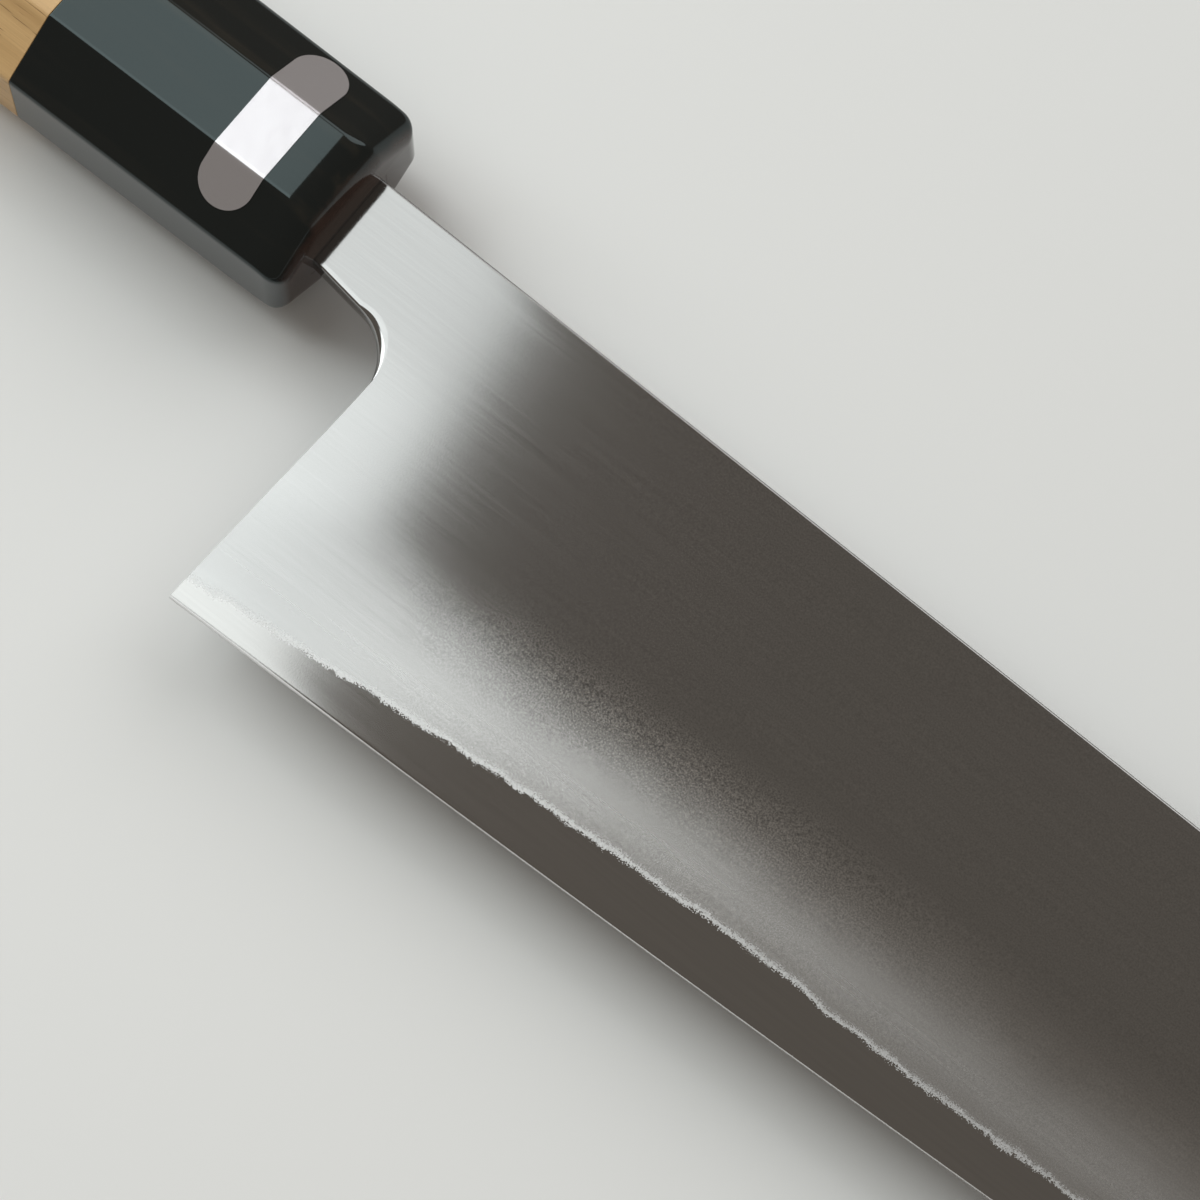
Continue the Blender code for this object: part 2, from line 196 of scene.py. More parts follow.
class Graph:
    """A node tree under construction."""

    def __init__(self, tree: bpy.types.NodeTree) -> None:
        """Start from an empty tree."""
        self.tree = tree
        tree.nodes.clear()

    def add(self, kind: str, feeds: Feeds | None = None, **settings: object) -> bpy.types.Node:
        """Add a node.

        Args:
            kind: Blender's name for the node's type.
            feeds: What its inputs are given, by name or number.
            settings: Properties of the node, which are set first.

        Returns:
            The new node.
        """
        node = self.tree.nodes.new(kind)
        for name, value in settings.items():
            setattr(node, name, value)
        for key, value in (feeds or {}).items():
            self.feed(node.inputs[key], value)
        return node

    def feed(self, socket: Socket, value: object) -> None:
        """Join a field or socket to an input, or write a plain value there.

        Args:
            socket: The input.
            value: A field, an output socket or a plain value.
        """
        value = value.socket if isinstance(value, Field) else value
        if isinstance(value, Socket):
            self.tree.links.new(value, socket)
        else:
            socket.default_value = value

    def math(self, operation: str, *values: Number, clamp: bool = False) -> Field:
        """Work out one number from others.

        Args:
            operation: Name of the operation.
            values: Its operands.
            clamp: Whether the result is kept from 0 to 1.

        Returns:
            The result.
        """
        feeds = dict(enumerate(values))
        node = self.add("ShaderNodeMath", feeds, operation=operation, use_clamp=clamp)
        return Field(self, node.outputs[0])

    def blend(self, start: Number, end: Number, share: Field) -> Field:
        """Value at a share of the way from start to end."""
        return share * (end - start) + start

    def vector(self, *parts: Number) -> Socket:
        """Vector with these three parts."""
        return self.add("ShaderNodeCombineXYZ", dict(enumerate(parts))).outputs[0]

    def parts(self, vector: Socket) -> list[Field]:
        """The three parts of a vector."""
        return [Field(self, part) for part in self.add("ShaderNodeSeparateXYZ", {0: vector}).outputs]

    def arrow(self, operation: str, feeds: Feeds) -> Socket:
        """Vector that an operation makes of what it is fed."""
        return self.add("ShaderNodeVectorMath", feeds, operation=operation).outputs[0]


# Finishes


@dataclass(frozen=True)
class Grain:
    """Soft noise laid over a piece."""

    stretch: Place  # features for each metre along X, Y and Z
    detail: float = 2.0  # number of finer layers
    warp: float = 0.0  # how far it is drawn out of shape

    @classmethod
    def even(cls, count: float, detail: float = 1.0) -> "Grain":
        """Noise with as many features for each metre along every axis."""
        return cls((count, count, count), detail)


class Paint(Graph):
    """The node tree of a material, round one shader."""

    def __init__(self, material: bpy.types.Material) -> None:
        """Put the shader and the output into the material's tree.

        Args:
            material: The material.
        """
        super().__init__(material.node_tree)
        self.shader = self.add("ShaderNodeBsdfPrincipled")
        self.add("ShaderNodeOutputMaterial", {"Surface": self.shader.outputs[0]})

    def set(self, name: str, value: object) -> None:
        """Set or feed an input of the shader."""
        self.feed(self.shader.inputs[name], value)

    def noise(self, grain: Grain) -> Field:
        """Lay a noise over the piece.

        Args:
            grain: The noise.

        Returns:
            A number round one half.
        """
        here = self.add("ShaderNodeTexCoord").outputs["Object"]
        place = self.add("ShaderNodeMapping", {"Vector": here, "Scale": grain.stretch}).outputs[0]
        feeds = {"Vector": place, "Scale": 1.0, "Detail": grain.detail, "Distortion": grain.warp}
        return Field(self, self.add("ShaderNodeTexNoise", feeds).outputs[0])

    def note(self, name: Note) -> Field:
        """Number kept at the points of the mesh."""
        return Field(self, self.add("ShaderNodeAttribute", attribute_name=name.value).outputs["Fac"])

    def facing_front(self) -> Field:
        """How far the surface faces along the blade: 1 on the ferrule's front face."""
        return self.parts(self.add("ShaderNodeTexCoord").outputs["Normal"])[0]

    def fade(self, value: Field, span: Span) -> Field:
        """Smooth step from 0 to 1 over a span.

        Args:
            value: What it depends on.
            span: Where it leaves 0 and where it reaches 1.

        Returns:
            The step.
        """
        feeds = {"Value": value, "From Min": span[0], "From Max": span[1]}
        node = self.add("ShaderNodeMapRange", feeds, interpolation_type="SMOOTHSTEP")
        return Field(self, node.outputs[0])

    def tint(self, share: Field, start: Colour | Socket, end: Colour) -> Socket:
        """Mix two colours.

        Args:
            share: How much of the second.
            start: First colour, or the output of an earlier mix.
            end: Second colour.

        Returns:
            The mixed colour.
        """
        start = (*start, 1.0) if isinstance(start, tuple) else start
        feeds = {"Factor": share, "A": start, "B": (*end, 1.0)}
        return self.add("ShaderNodeMix", feeds, data_type="RGBA").outputs["Result"]

    def bump(self, height: Field, depth: float) -> None:
        """Give the surface a relief, over any that it has.

        Args:
            height: Relief from 0 to 1.
            depth: Its real height.
        """
        node = self.add("ShaderNodeBump", {"Distance": depth, "Height": height})
        normal = self.shader.inputs["Normal"]
        if normal.is_linked:
            self.feed(node.inputs["Normal"], normal.links[0].from_socket)
        self.feed(normal, node.outputs[0])


@dataclass(frozen=True)
class Finish:
    """A surface of the knife or of the room. Its kinds say what varies over it."""

    name: str
    colour: Colour
    roughness: float
    metallic: float = 0.0

    def make(self) -> bpy.types.Material:
        """Build the material.

        Returns:
            The new material.
        """
        material = bpy.data.materials.new(self.name)
        material.use_nodes = True
        paint = Paint(material)
        paint.set("Base Color", (*self.colour, 1.0))
        paint.set("Roughness", self.roughness)
        paint.set("Metallic", self.metallic)
        self.vary(paint)
        return material

    def vary(self, paint: Paint) -> None:
        """Add what changes over the surface. A plain finish has nothing."""


@dataclass(frozen=True)
class LaminatedSteel(Finish):
    """Ground steel of the blade: fine lengthwise lines, a soft haze over the core line, and the line. Further
    along the blade the haze is darkened by painted shade, where the lamp's light falls off.

    Each span runs above the core line, or past the heel where its comment says so.
    """

    colour: Colour = (0.290, 0.288, 0.286)
    roughness: float = 0.090
    metallic: float = 1.0
    hair: Grain = Grain((90.0, 3600.0, 3600.0))
    hair_tone: float = 0.12
    hair_roughness: float = 0.02
    hair_depth: float = 0.0000004
    grit: Grain = Grain.even(6200.0)
    grit_depth: float = 0.0000003
    haze_colour: Colour = (0.56, 0.56, 0.56)
    heel_haze_colour: Colour = (0.43, 0.43, 0.43)
    heel_span: Span = (0.004, 0.027)  # past the heel
    haze_roughness: float = 0.272
    haze_power: float = 1.25  # how late the roughness comes up with the haze
    haze_span: Span = (0.0030, 0.0147)
    haze_cloud: Grain = Grain((60.0, 140.0, 140.0), 1.0)
    haze_cloud_reach: float = 0.0020  # how far the haze's border swings with the cloud
    haze_grit_reach: float = 0.0015
    wider: float = 0.09  # how much further the haze reaches near the heel
    wide_span: Span = (0.012, 0.045)  # past the heel
    painted_shade_tone: float = 0.2  # how much of its brightness the haze loses further on: painted shade, where the lamp's light falls off
    painted_shade_span: Span = (0.038, 0.088)  # past the heel, where the painted shade comes in
    speckle_power: float = 1.8  # how soon the speckle fades into the full haze
    speckle_near: float = 12.0  # its strength before the painted shade darkens the haze
    speckle_fall: float = 11.0  # how much of it is lost where the painted shade darkens the haze
    speckle_least: float = 0.5
    speckle_span: Span = (0.008, 0.036)  # past the heel
    fringe_roughness: float = 0.245
    fringe_rise: Span = (0.0003, 0.0009)
    fringe_fall: Span = (0.0009, 0.0027)
    line_colour: Colour = (0.58, 0.58, 0.58)
    line_roughness: float = 0.50
    line_span: Span = (0.00010, 0.00052)
    line_ways: tuple[tuple[Grain, float], ...] = (  # the line's wander, its teeth and their fine fringe
        (Grain.even(260.0), 0.0011),
        (Grain.even(2200.0), 0.0005),
        (Grain.even(8000.0), 0.0011),
    )
    band_colour: Colour = (0.320, 0.315, 0.310)
    band_span: Span = (-0.00005, 0.00003)
    # pale strip along the cutting edge: partly the honed bevel's own finish, partly a painted highlight
    edge_and_highlight_colour: Colour = (0.72, 0.72, 0.72)
    edge_roughness: float = 0.52
    edge_span: Span = (0.6, 1.0)  # in widths of the edge's strip
    edge_width: float = 0.00010
    # the strip widens near the heel as painted highlight, where the lamp's light is brightest
    heel_edge_and_highlight_width: float = 0.00032

    def vary(self, paint: Paint) -> None:
        """Paint the layers by their distance from the core line.

        Args:
            paint: The material's tree.
        """
        above, past_heel = paint.note(Note.ABOVE_LINE), paint.note(Note.PAST_HEEL)
        for grain, reach in self.line_ways:
            above = above + sway(paint.noise(grain), reach)
        hair, grit = paint.noise(self.hair), paint.noise(self.grit)
        haze = self.haze(paint, above, past_heel, grit)
        fringe = paint.fade(above, self.fringe_rise) * (1.0 - paint.fade(above, self.fringe_fall))
        line = 1.0 - paint.fade(above, self.line_span)
        band = 1.0 - paint.fade(above, self.band_span)
        away = paint.fade(past_heel, self.heel_span)
        # painted highlight along the cutting edge, wider near the heel, over the bevel's own pale finish
        width = paint.blend(self.heel_edge_and_highlight_width, self.edge_width, away)
        edge = 1.0 - paint.fade(paint.note(Note.ABOVE_EDGE) / width, self.edge_span)
        colour = paint.tint(away, self.heel_haze_colour, self.haze_colour)
        layers = ((1.0 - haze, self.colour), (line, self.line_colour), (band, self.band_colour))
        for share, layer in (*layers, (edge, self.edge_and_highlight_colour)):
            colour = paint.tint(share, colour, layer)
        # painted shade: how far along the blade the haze is darkened, where the lamp's light falls off
        painted_shade = paint.fade(past_heel, self.painted_shade_span)
        speckle = self.speckle(paint, haze, painted_shade) * paint.fade(past_heel, self.speckle_span)
        tone = 1.0 + sway(hair, self.hair_tone) + sway(grit, speckle) * (1.0 - band)
        # painted shade: the haze's colour is darkened further along the blade
        tone = tone * (1.0 - haze * painted_shade * (1.0 - band) * self.painted_shade_tone)
        paint.set("Base Color", paint.arrow("SCALE", {0: colour, "Scale": tone}))
        rise = paint.math("POWER", haze, self.haze_power)
        roughness = paint.blend(self.roughness, self.haze_roughness, rise)
        layers = ((fringe, self.fringe_roughness), (line, self.line_roughness), (band, self.roughness))
        for share, layer in (*layers, (edge, self.edge_roughness)):
            roughness = paint.blend(roughness, layer, share)
        paint.set("Roughness", roughness + sway(hair, self.hair_roughness))
        paint.bump(hair, self.hair_depth)
        paint.bump(grit, self.grit_depth)

    def haze(self, paint: Paint, above: Field, past_heel: Field, grit: Field) -> Field:
        """Work out the haze, which reaches further near the heel and has a cloudy, gritty border.

        Args:
            paint: The material's tree.
            above: Distance above the core line.
            past_heel: Distance past the heel.
            grit: The fine noise.

        Returns:
            Its share of the surface.
        """
        near = 1.0 - paint.fade(past_heel, self.wide_span)
        reach = above * (1.0 - near * self.wider)
        reach = reach + sway(paint.noise(self.haze_cloud), self.haze_cloud_reach)
        reach = reach + sway(grit, self.haze_grit_reach)
        return 1.0 - paint.fade(reach, self.haze_span)

    def speckle(self, paint: Paint, haze: Field, painted_shade: Field) -> Field:
        """Strength of the speckle, which is greatest in the thin haze and falls where the painted shade
        darkens the haze.
        """
        speckle = haze * paint.math("POWER", 1.0 - haze, self.speckle_power)
        return speckle * (self.speckle_near - painted_shade * self.speckle_fall) + self.speckle_least


@dataclass(frozen=True)
class PolishedHorn(Finish):
    """Black horn under a high polish, with faint brown streaks along it and a browner end grain."""

    name: str = "horn"
    colour: Colour = (0.0050, 0.0050, 0.0048)
    roughness: float = 0.10
    gloss_colour: Colour = (0.80, 0.98, 1.0)
    streak: Grain = Grain((25.0, 420.0, 420.0), 3.0, 0.4)
    streak_colour: Colour = (0.022, 0.017, 0.012)
    streak_span: Span = (0.52, 0.85)
    end_colour: Colour = (0.050, 0.028, 0.022)
    end_swing: float = 0.25  # how far the streaks shift the end grain's border
    end_span: Span = (0.70, 0.98)
    rub: Grain = Grain((160.0, 3000.0, 3000.0))
    rub_roughness: float = 0.05
    rub_depth: float = 0.0000006

    def vary(self, paint: Paint) -> None:
        """Add the streaks, the end grain in front and the last traces of polishing.

        Args:
            paint: The material's tree.
        """
        streak, rub = paint.noise(self.streak), paint.noise(self.rub)
        colour = paint.tint(paint.fade(streak, self.streak_span), self.colour, self.streak_colour)
        end = paint.fade(paint.facing_front() + sway(streak, self.end_swing), self.end_span)
        paint.set("Base Color", paint.tint(end, colour, self.end_colour))
        paint.set("Specular Tint", (*self.gloss_colour, 1.0))
        paint.set("Roughness", self.roughness + sway(rub, self.rub_roughness))
        paint.bump(rub, self.rub_depth)


@dataclass(frozen=True)
class OiledWood(Finish):
    """Pale fine wood, oiled: growth layers, fine fibres along the handle and small dark pores."""

    name: str = "wood"
    colour: Colour = (0.595, 0.383, 0.175)
    roughness: float = 0.46
    layers: Grain = Grain((5.0, 230.0, 105.0), 2.0, 0.6)
    late_colour: Colour = (0.40, 0.235, 0.092)
    late_span: Span = (0.42, 0.72)
    pores: Grain = Grain((240.0, 5200.0, 5200.0), 1.0)
    pore_colour: Colour = (0.20, 0.105, 0.040)
    pore_span: Span = (0.66, 0.76)
    pore_depth: float = 0.00002
    fibres: Grain = Grain((70.0, 2600.0, 2600.0), 3.0)
    fibre_tone: float = 0.30
    fibre_roughness: float = 0.16
    fibre_depth: float = 0.000012

    def vary(self, paint: Paint) -> None:
        """Add growth layers, fibres and pores.

        Args:
            paint: The material's tree.
        """
        fibre, pore = paint.noise(self.fibres), paint.noise(self.pores)
        late = paint.fade(paint.noise(self.layers), self.late_span)
        colour = paint.tint(late, self.colour, self.late_colour)
        colour = paint.tint(paint.fade(pore, self.pore_span), colour, self.pore_colour)
        tone = 1.0 + sway(fibre, self.fibre_tone)
        paint.set("Base Color", paint.arrow("SCALE", {0: colour, "Scale": tone}))
        paint.set("Roughness", self.roughness + sway(fibre, self.fibre_roughness))
        paint.bump(fibre, self.fibre_depth)
        paint.bump(pore, -self.pore_depth)


@dataclass(frozen=True)
class SilverFoil(Finish):
    """Thin bright foil that lies not quite flat."""

    name: str = "foil"
    colour: Colour = (0.52, 0.50, 0.52)
    roughness: float = 0.20
    metallic: float = 0.78
    wave: Grain = Grain.even(420.0)
    wave_depth: float = 0.00003
    speck: Grain = Grain.even(9000.0)
    speck_roughness: float = 0.08
    speck_depth: float = 0.0000012

    def vary(self, paint: Paint) -> None:
        """Add the slow waves of the foil and its fine specks.

        Args:
            paint: The material's tree.
        """
        speck = paint.noise(self.speck)
        paint.set("Roughness", self.roughness + sway(speck, self.speck_roughness))
        paint.bump(paint.noise(self.wave), self.wave_depth)
        paint.bump(speck, self.speck_depth)


@dataclass(frozen=True)
class BeddingResin(Finish):
    """Dark resin with a slightly uneven surface."""

    name: str = "resin"
    colour: Colour = (0.046, 0.030, 0.026)
    roughness: float = 0.14
    lumps: Grain = Grain.even(1800.0, 2.0)
    lump_roughness: float = 0.2
    lump_depth: float = 0.00002

    def vary(self, paint: Paint) -> None:
        """Add a low relief.

        Args:
            paint: The material's tree.
        """
        lumps = paint.noise(self.lumps)
        paint.set("Roughness", self.roughness + sway(lumps, self.lump_roughness))
        paint.bump(lumps, self.lump_depth)


# Meshes


class Shell:
    """A closed mesh under construction."""

    def __init__(self, name: str, origin: Vector, notes: Sequence[Note] = ()) -> None:
        """Start an empty mesh.

        Args:
            name: Name of the piece.
            origin: Where the drawing's origin lies in the frame.
            notes: Numbers kept at each point.
        """
        self.name = name
        self.origin = origin
        self.mesh = bmesh.new()
        self.layers = {note: self.mesh.verts.layers.float.new(note.value) for note in notes}

    def point(self, place: Place, notes: dict[Note, float] | None = None) -> bmesh.types.BMVert:
        """Add a point.

        Args:
            place: Where it is, from the drawing's origin.
            notes: Its numbers.

        Returns:
            The new vertex.
        """
        vertex = self.mesh.verts.new(self.origin + Vector(place))
        for note, value in (notes or {}).items():
            vertex[self.layers[note]] = value
        return vertex

    def quilt(self, rows: Sequence[Sequence[bmesh.types.BMVert]]) -> None:
        """Join neighbouring rows of points with quads.

        Args:
            rows: The rows, all with the same number of points.
        """
        for first, second in zip(rows, rows[1:]):
            for a, b, c, d in zip(first, first[1:], second[1:], second):
                self.mesh.faces.new((a, b, c, d))

    def loft(self, rings: Sequence[Sequence[Place]]) -> None:
        """Close a body through rings of places, with flat ends.

        Args:
            rings: The places of each ring.
        """
        rows = [[self.point(place) for place in ring] for ring in rings]
        self.quilt([row + row[:1] for row in rows])
        self.mesh.faces.new(rows[0])
        self.mesh.faces.new(rows[-1])

    def finish(self) -> Piece:
        """Turn the faces outwards and make the object.

        Returns:
            The new object.
        """
        bmesh.ops.recalc_face_normals(self.mesh, faces=self.mesh.faces)
        mesh = bpy.data.meshes.new(self.name)
        self.mesh.to_mesh(mesh)
        self.mesh.free()
        return new_object(self.name, mesh)


def smooth(piece: Piece, angle: float = 30.0) -> None:
    """Shade a piece smooth and keep its edges sharp above an angle in degrees."""
    piece.data.shade_smooth()
    piece.data.set_sharp_from_angle(angle=math.radians(angle))


def bake(piece: Piece) -> None:
    """Put the plain mesh that a piece's modifiers make in their place.

    Args:
        piece: An object with modifiers.
    """
    shaped = piece.evaluated_get(bpy.context.evaluated_depsgraph_get())
    mesh = bpy.data.meshes.new_from_object(shaped)
    piece.modifiers.clear()
    piece.data = mesh


def place_piece(piece: Piece, node: str, material: bpy.types.Material) -> None:
    """Dress a finished piece and put it in its node's place.

    Args:
        piece: The finished object.
        node: The node that it stands for.
        material: Its finish.
    """
    piece.data.materials.clear()
    piece.data.materials.append(material)
    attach(piece, BODY)
    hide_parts(node)
    LOG.info("%s: %d faces in place of %s", piece.name, len(piece.data.polygons), node)


# Blade


@dataclass(frozen=True)
class Station:
    """A line across the blade, from the spine to where the cladding ends, and its point of the edge."""

    spine: Point
    line: Point
    edge: Point | None = None
    low_ease: float = 0.0  # round between the face and the surface below the line


@dataclass(frozen=True)
class BladeDrawing:
    """Outline, layers and thickness of the blade."""

    length: float = 0.270  # from the heel corner to the tip
    heel_x: float = 0.0106
    heel_drop: float = 0.03725
    heel_lean: float = 0.0019
    tip_drop: float = 0.0062
    tip_height: float = 0.0003
    spine_start: float = 0.0045
    spine_fall: float = 0.0056
    spine_curve: float = 0.075
    slope_rise: float = 0.0055
    belly_rise: float = 0.0100
    sweep_power: float = 7.0
    neck_drop: float = 0.0052
    neck_fall: float = 0.0018
    choil_radius: float = 0.0063
    neck_thick: float = 0.0032
    tip_thick: float = 0.0004
    taper_power: float = 1.3
    grind_power: float = 0.62
    edge_thick: float = 0.00008
    core_neck_thick: float = 0.0007
    core_tip_thick: float = 0.0003
    line_heel: float = 0.0021
    line_body: float = 0.0048
    line_growth: float = 0.015
    line_wave: float = 0.0006
    line_wave_pitch: float = 0.090
    line_wave_start: float = 0.027
    line_tip_share: float = 0.62
    layer_step: float = 0.00012
    cladding_end: float = 0.0060  # behind the tip
    feather: float = 0.0040  # length over which the core comes up to the faces there
    feather_left: float = 0.05  # share of the cladding's thickness left at its end
    tang_length: float = 0.095
    tang_top_end: float = 0.0022
    tang_bottom_end: float = 0.0026
    tang_thick_end: float = 0.0022

    @property
    def tip_x(self) -> float:
        """Where the tip is."""
        return self.heel_x + self.length

    def spine(self, x: float) -> float:
        """Height of the spine at x: straight, then curved down to the tip.

        Args:
            x: Place along the blade.

        Returns:
            The height.
        """
        straight = self.spine_start - self.spine_fall * x / self.tip_x
        curve = max(0.0, (x - self.tip_x + self.spine_curve) / self.spine_curve)
        end_fall = self.spine_start - self.spine_fall + self.tip_drop - self.tip_height / 2
        return straight - end_fall * curve**2

    def edge(self, x: float) -> float:
        """Height of the edge at x: a slope, a belly and the sweep up to the tip.

        Args:
            x: Place along the blade.

        Returns:
            The height.
        """
        share = limited((x - self.heel_x) / self.length)
        sweep = self.heel_drop - self.tip_drop - self.tip_height / 2 - self.slope_rise - self.belly_rise
        rise = self.slope_rise * share + self.belly_rise * share**2 + sweep * share**self.sweep_power
        return -self.heel_drop + rise

    def line_rise(self, x: float) -> float:
        """Height of the bare core band above the edge at x.

        Args:
            x: Place along the blade.

        Returns:
            The height above the edge.
        """
        along = max(x - self.heel_x, 0.0)
        turns = (along - self.line_wave_start) / self.line_wave_pitch
        body = self.line_body + self.line_wave * math.sin(2 * math.pi * turns)
        rise = lerp(body, self.line_heel, math.exp(-along / self.line_growth))
        return min(rise, self.line_tip_share * (self.spine(x) - self.edge(x)))

    def tang_span(self, x: float) -> Point:
        """Top and bottom of the tang at x, or of the neck just in front of it.

        Args:
            x: Place along the tang.

        Returns:
            The two heights.
        """
        if x > 0:
            corner = self.neck_corner()
            return (self.spine(x), lerp(-self.neck_drop, corner[1], x / corner[0]))
        share = 1 + x / self.tang_length
        top = lerp(self.tang_top_end, self.spine_start, share)
        return (top, -lerp(self.tang_bottom_end, self.neck_drop, share))

    def tang_ring(self, x: float, ease: float, margin: float, steps: int) -> list[Place]:
        """Outline round the tang's section at x.

        Args:
            x: Place along the tang.
            ease: Round of the tang's own corners.
            margin: Distance of the outline from the tang.
            steps: Chords at each corner.

        Returns:
            The points, from the spine over the right side and back.
        """
        top, bottom = self.tang_span(x)
        over, under = (self.face_half(x, y) - ease for y in (top, bottom))
        ring = []
        corners = ((top - ease, over), (bottom + ease, under), (bottom + ease, -under), (top - ease, -over))
        for quarter, corner in enumerate(corners):
            for step in range(steps + 1):
                angle = math.pi / 2 * (quarter + step / steps)
                ring.append((x, *polar(corner, angle, ease + margin)))
        return ring

    def spine_half(self, x: float) -> float:
        """Half the thickness at the spine, which tapers both ways from the ferrule.

        Args:
            x: Place along the blade and the tang.

        Returns:
            The half thickness.
        """
        if x < 0:
            return lerp(self.neck_thick, self.tang_thick_end, -x / self.tang_length) / 2
        return lerp(self.neck_thick, self.tip_thick, (x / self.tip_x) ** self.taper_power) / 2

    def face_half(self, x: float, y: float) -> float:
        """Half the blade's thickness at a point of its outline.

        Args:
            x: Place along the blade.
            y: Height of the point.

        Returns:
            The half thickness.
        """
        height = self.spine(max(x, 0.0)) - self.edge(x)
        share = limited((y - self.edge(x)) / height)
        return self.edge_thick / 2 + (self.spine_half(x) - self.edge_thick / 2) * share**self.grind_power

    def core_half(self, station: Station, share: float) -> float:
        """Half the core's thickness under the cladding, a share of the way down a station.

        Args:
            station: The line across the blade.
            share: How far down it.

        Returns:
            The half thickness.
        """
        x = max(station.spine[0], 0.0)
        at_spine = lerp(self.core_neck_thick, self.core_tip_thick, x / self.tip_x) / 2
        at_line = min(at_spine, self.face_half(*station.line) - self.layer_step)
        face = self.face_half(*between(station.spine, station.line, share))
        to_end = (self.tip_x - self.cladding_end - station.line[0]) / self.feather
        return lerp(face, lerp(at_spine, at_line, share), limited(to_end, self.feather_left))

    def neck_corner(self) -> Point:
        """Where the underside of the neck would meet the heel line, without the round between them."""
        return (self.heel_x + self.heel_lean, -self.neck_drop - self.neck_fall)

    def choil_arc(self, steps: int) -> list[Point]:
        """Points of the round between the neck's underside and the heel line.

        Args:
            steps: Number of chords.

        Returns:
            The points, from the neck to the heel line.
        """
        corner = self.neck_corner()
        to_neck = math.atan2(-self.neck_drop - corner[1], -corner[0])
        to_heel = math.atan2(-self.heel_drop - corner[1], self.heel_x - corner[0]) + 2 * math.pi
        half = (to_heel - to_neck) / 2
        middle = to_neck + half
        centre = polar(corner, middle, self.choil_radius / math.sin(half))
        turn = math.pi / 2 - half
        angles = [middle + math.pi + lerp(turn, -turn, step / steps) for step in range(steps + 1)]
        return [polar(centre, angle, self.choil_radius) for angle in angles]

    def notes(self, x: float, y: float) -> dict[Note, float]:
        """Distances above the core line, above the edge and past the heel at a point of the outline.

        Args:
            x: Place along the blade.
            y: Height of the point.

        Returns:
            The numbers for the finish.
        """
        above_edge = y - self.edge(x)
        above_line = above_edge - self.line_rise(x)
        return {Note.ABOVE_LINE: above_line, Note.ABOVE_EDGE: above_edge, Note.PAST_HEEL: x - self.heel_x}


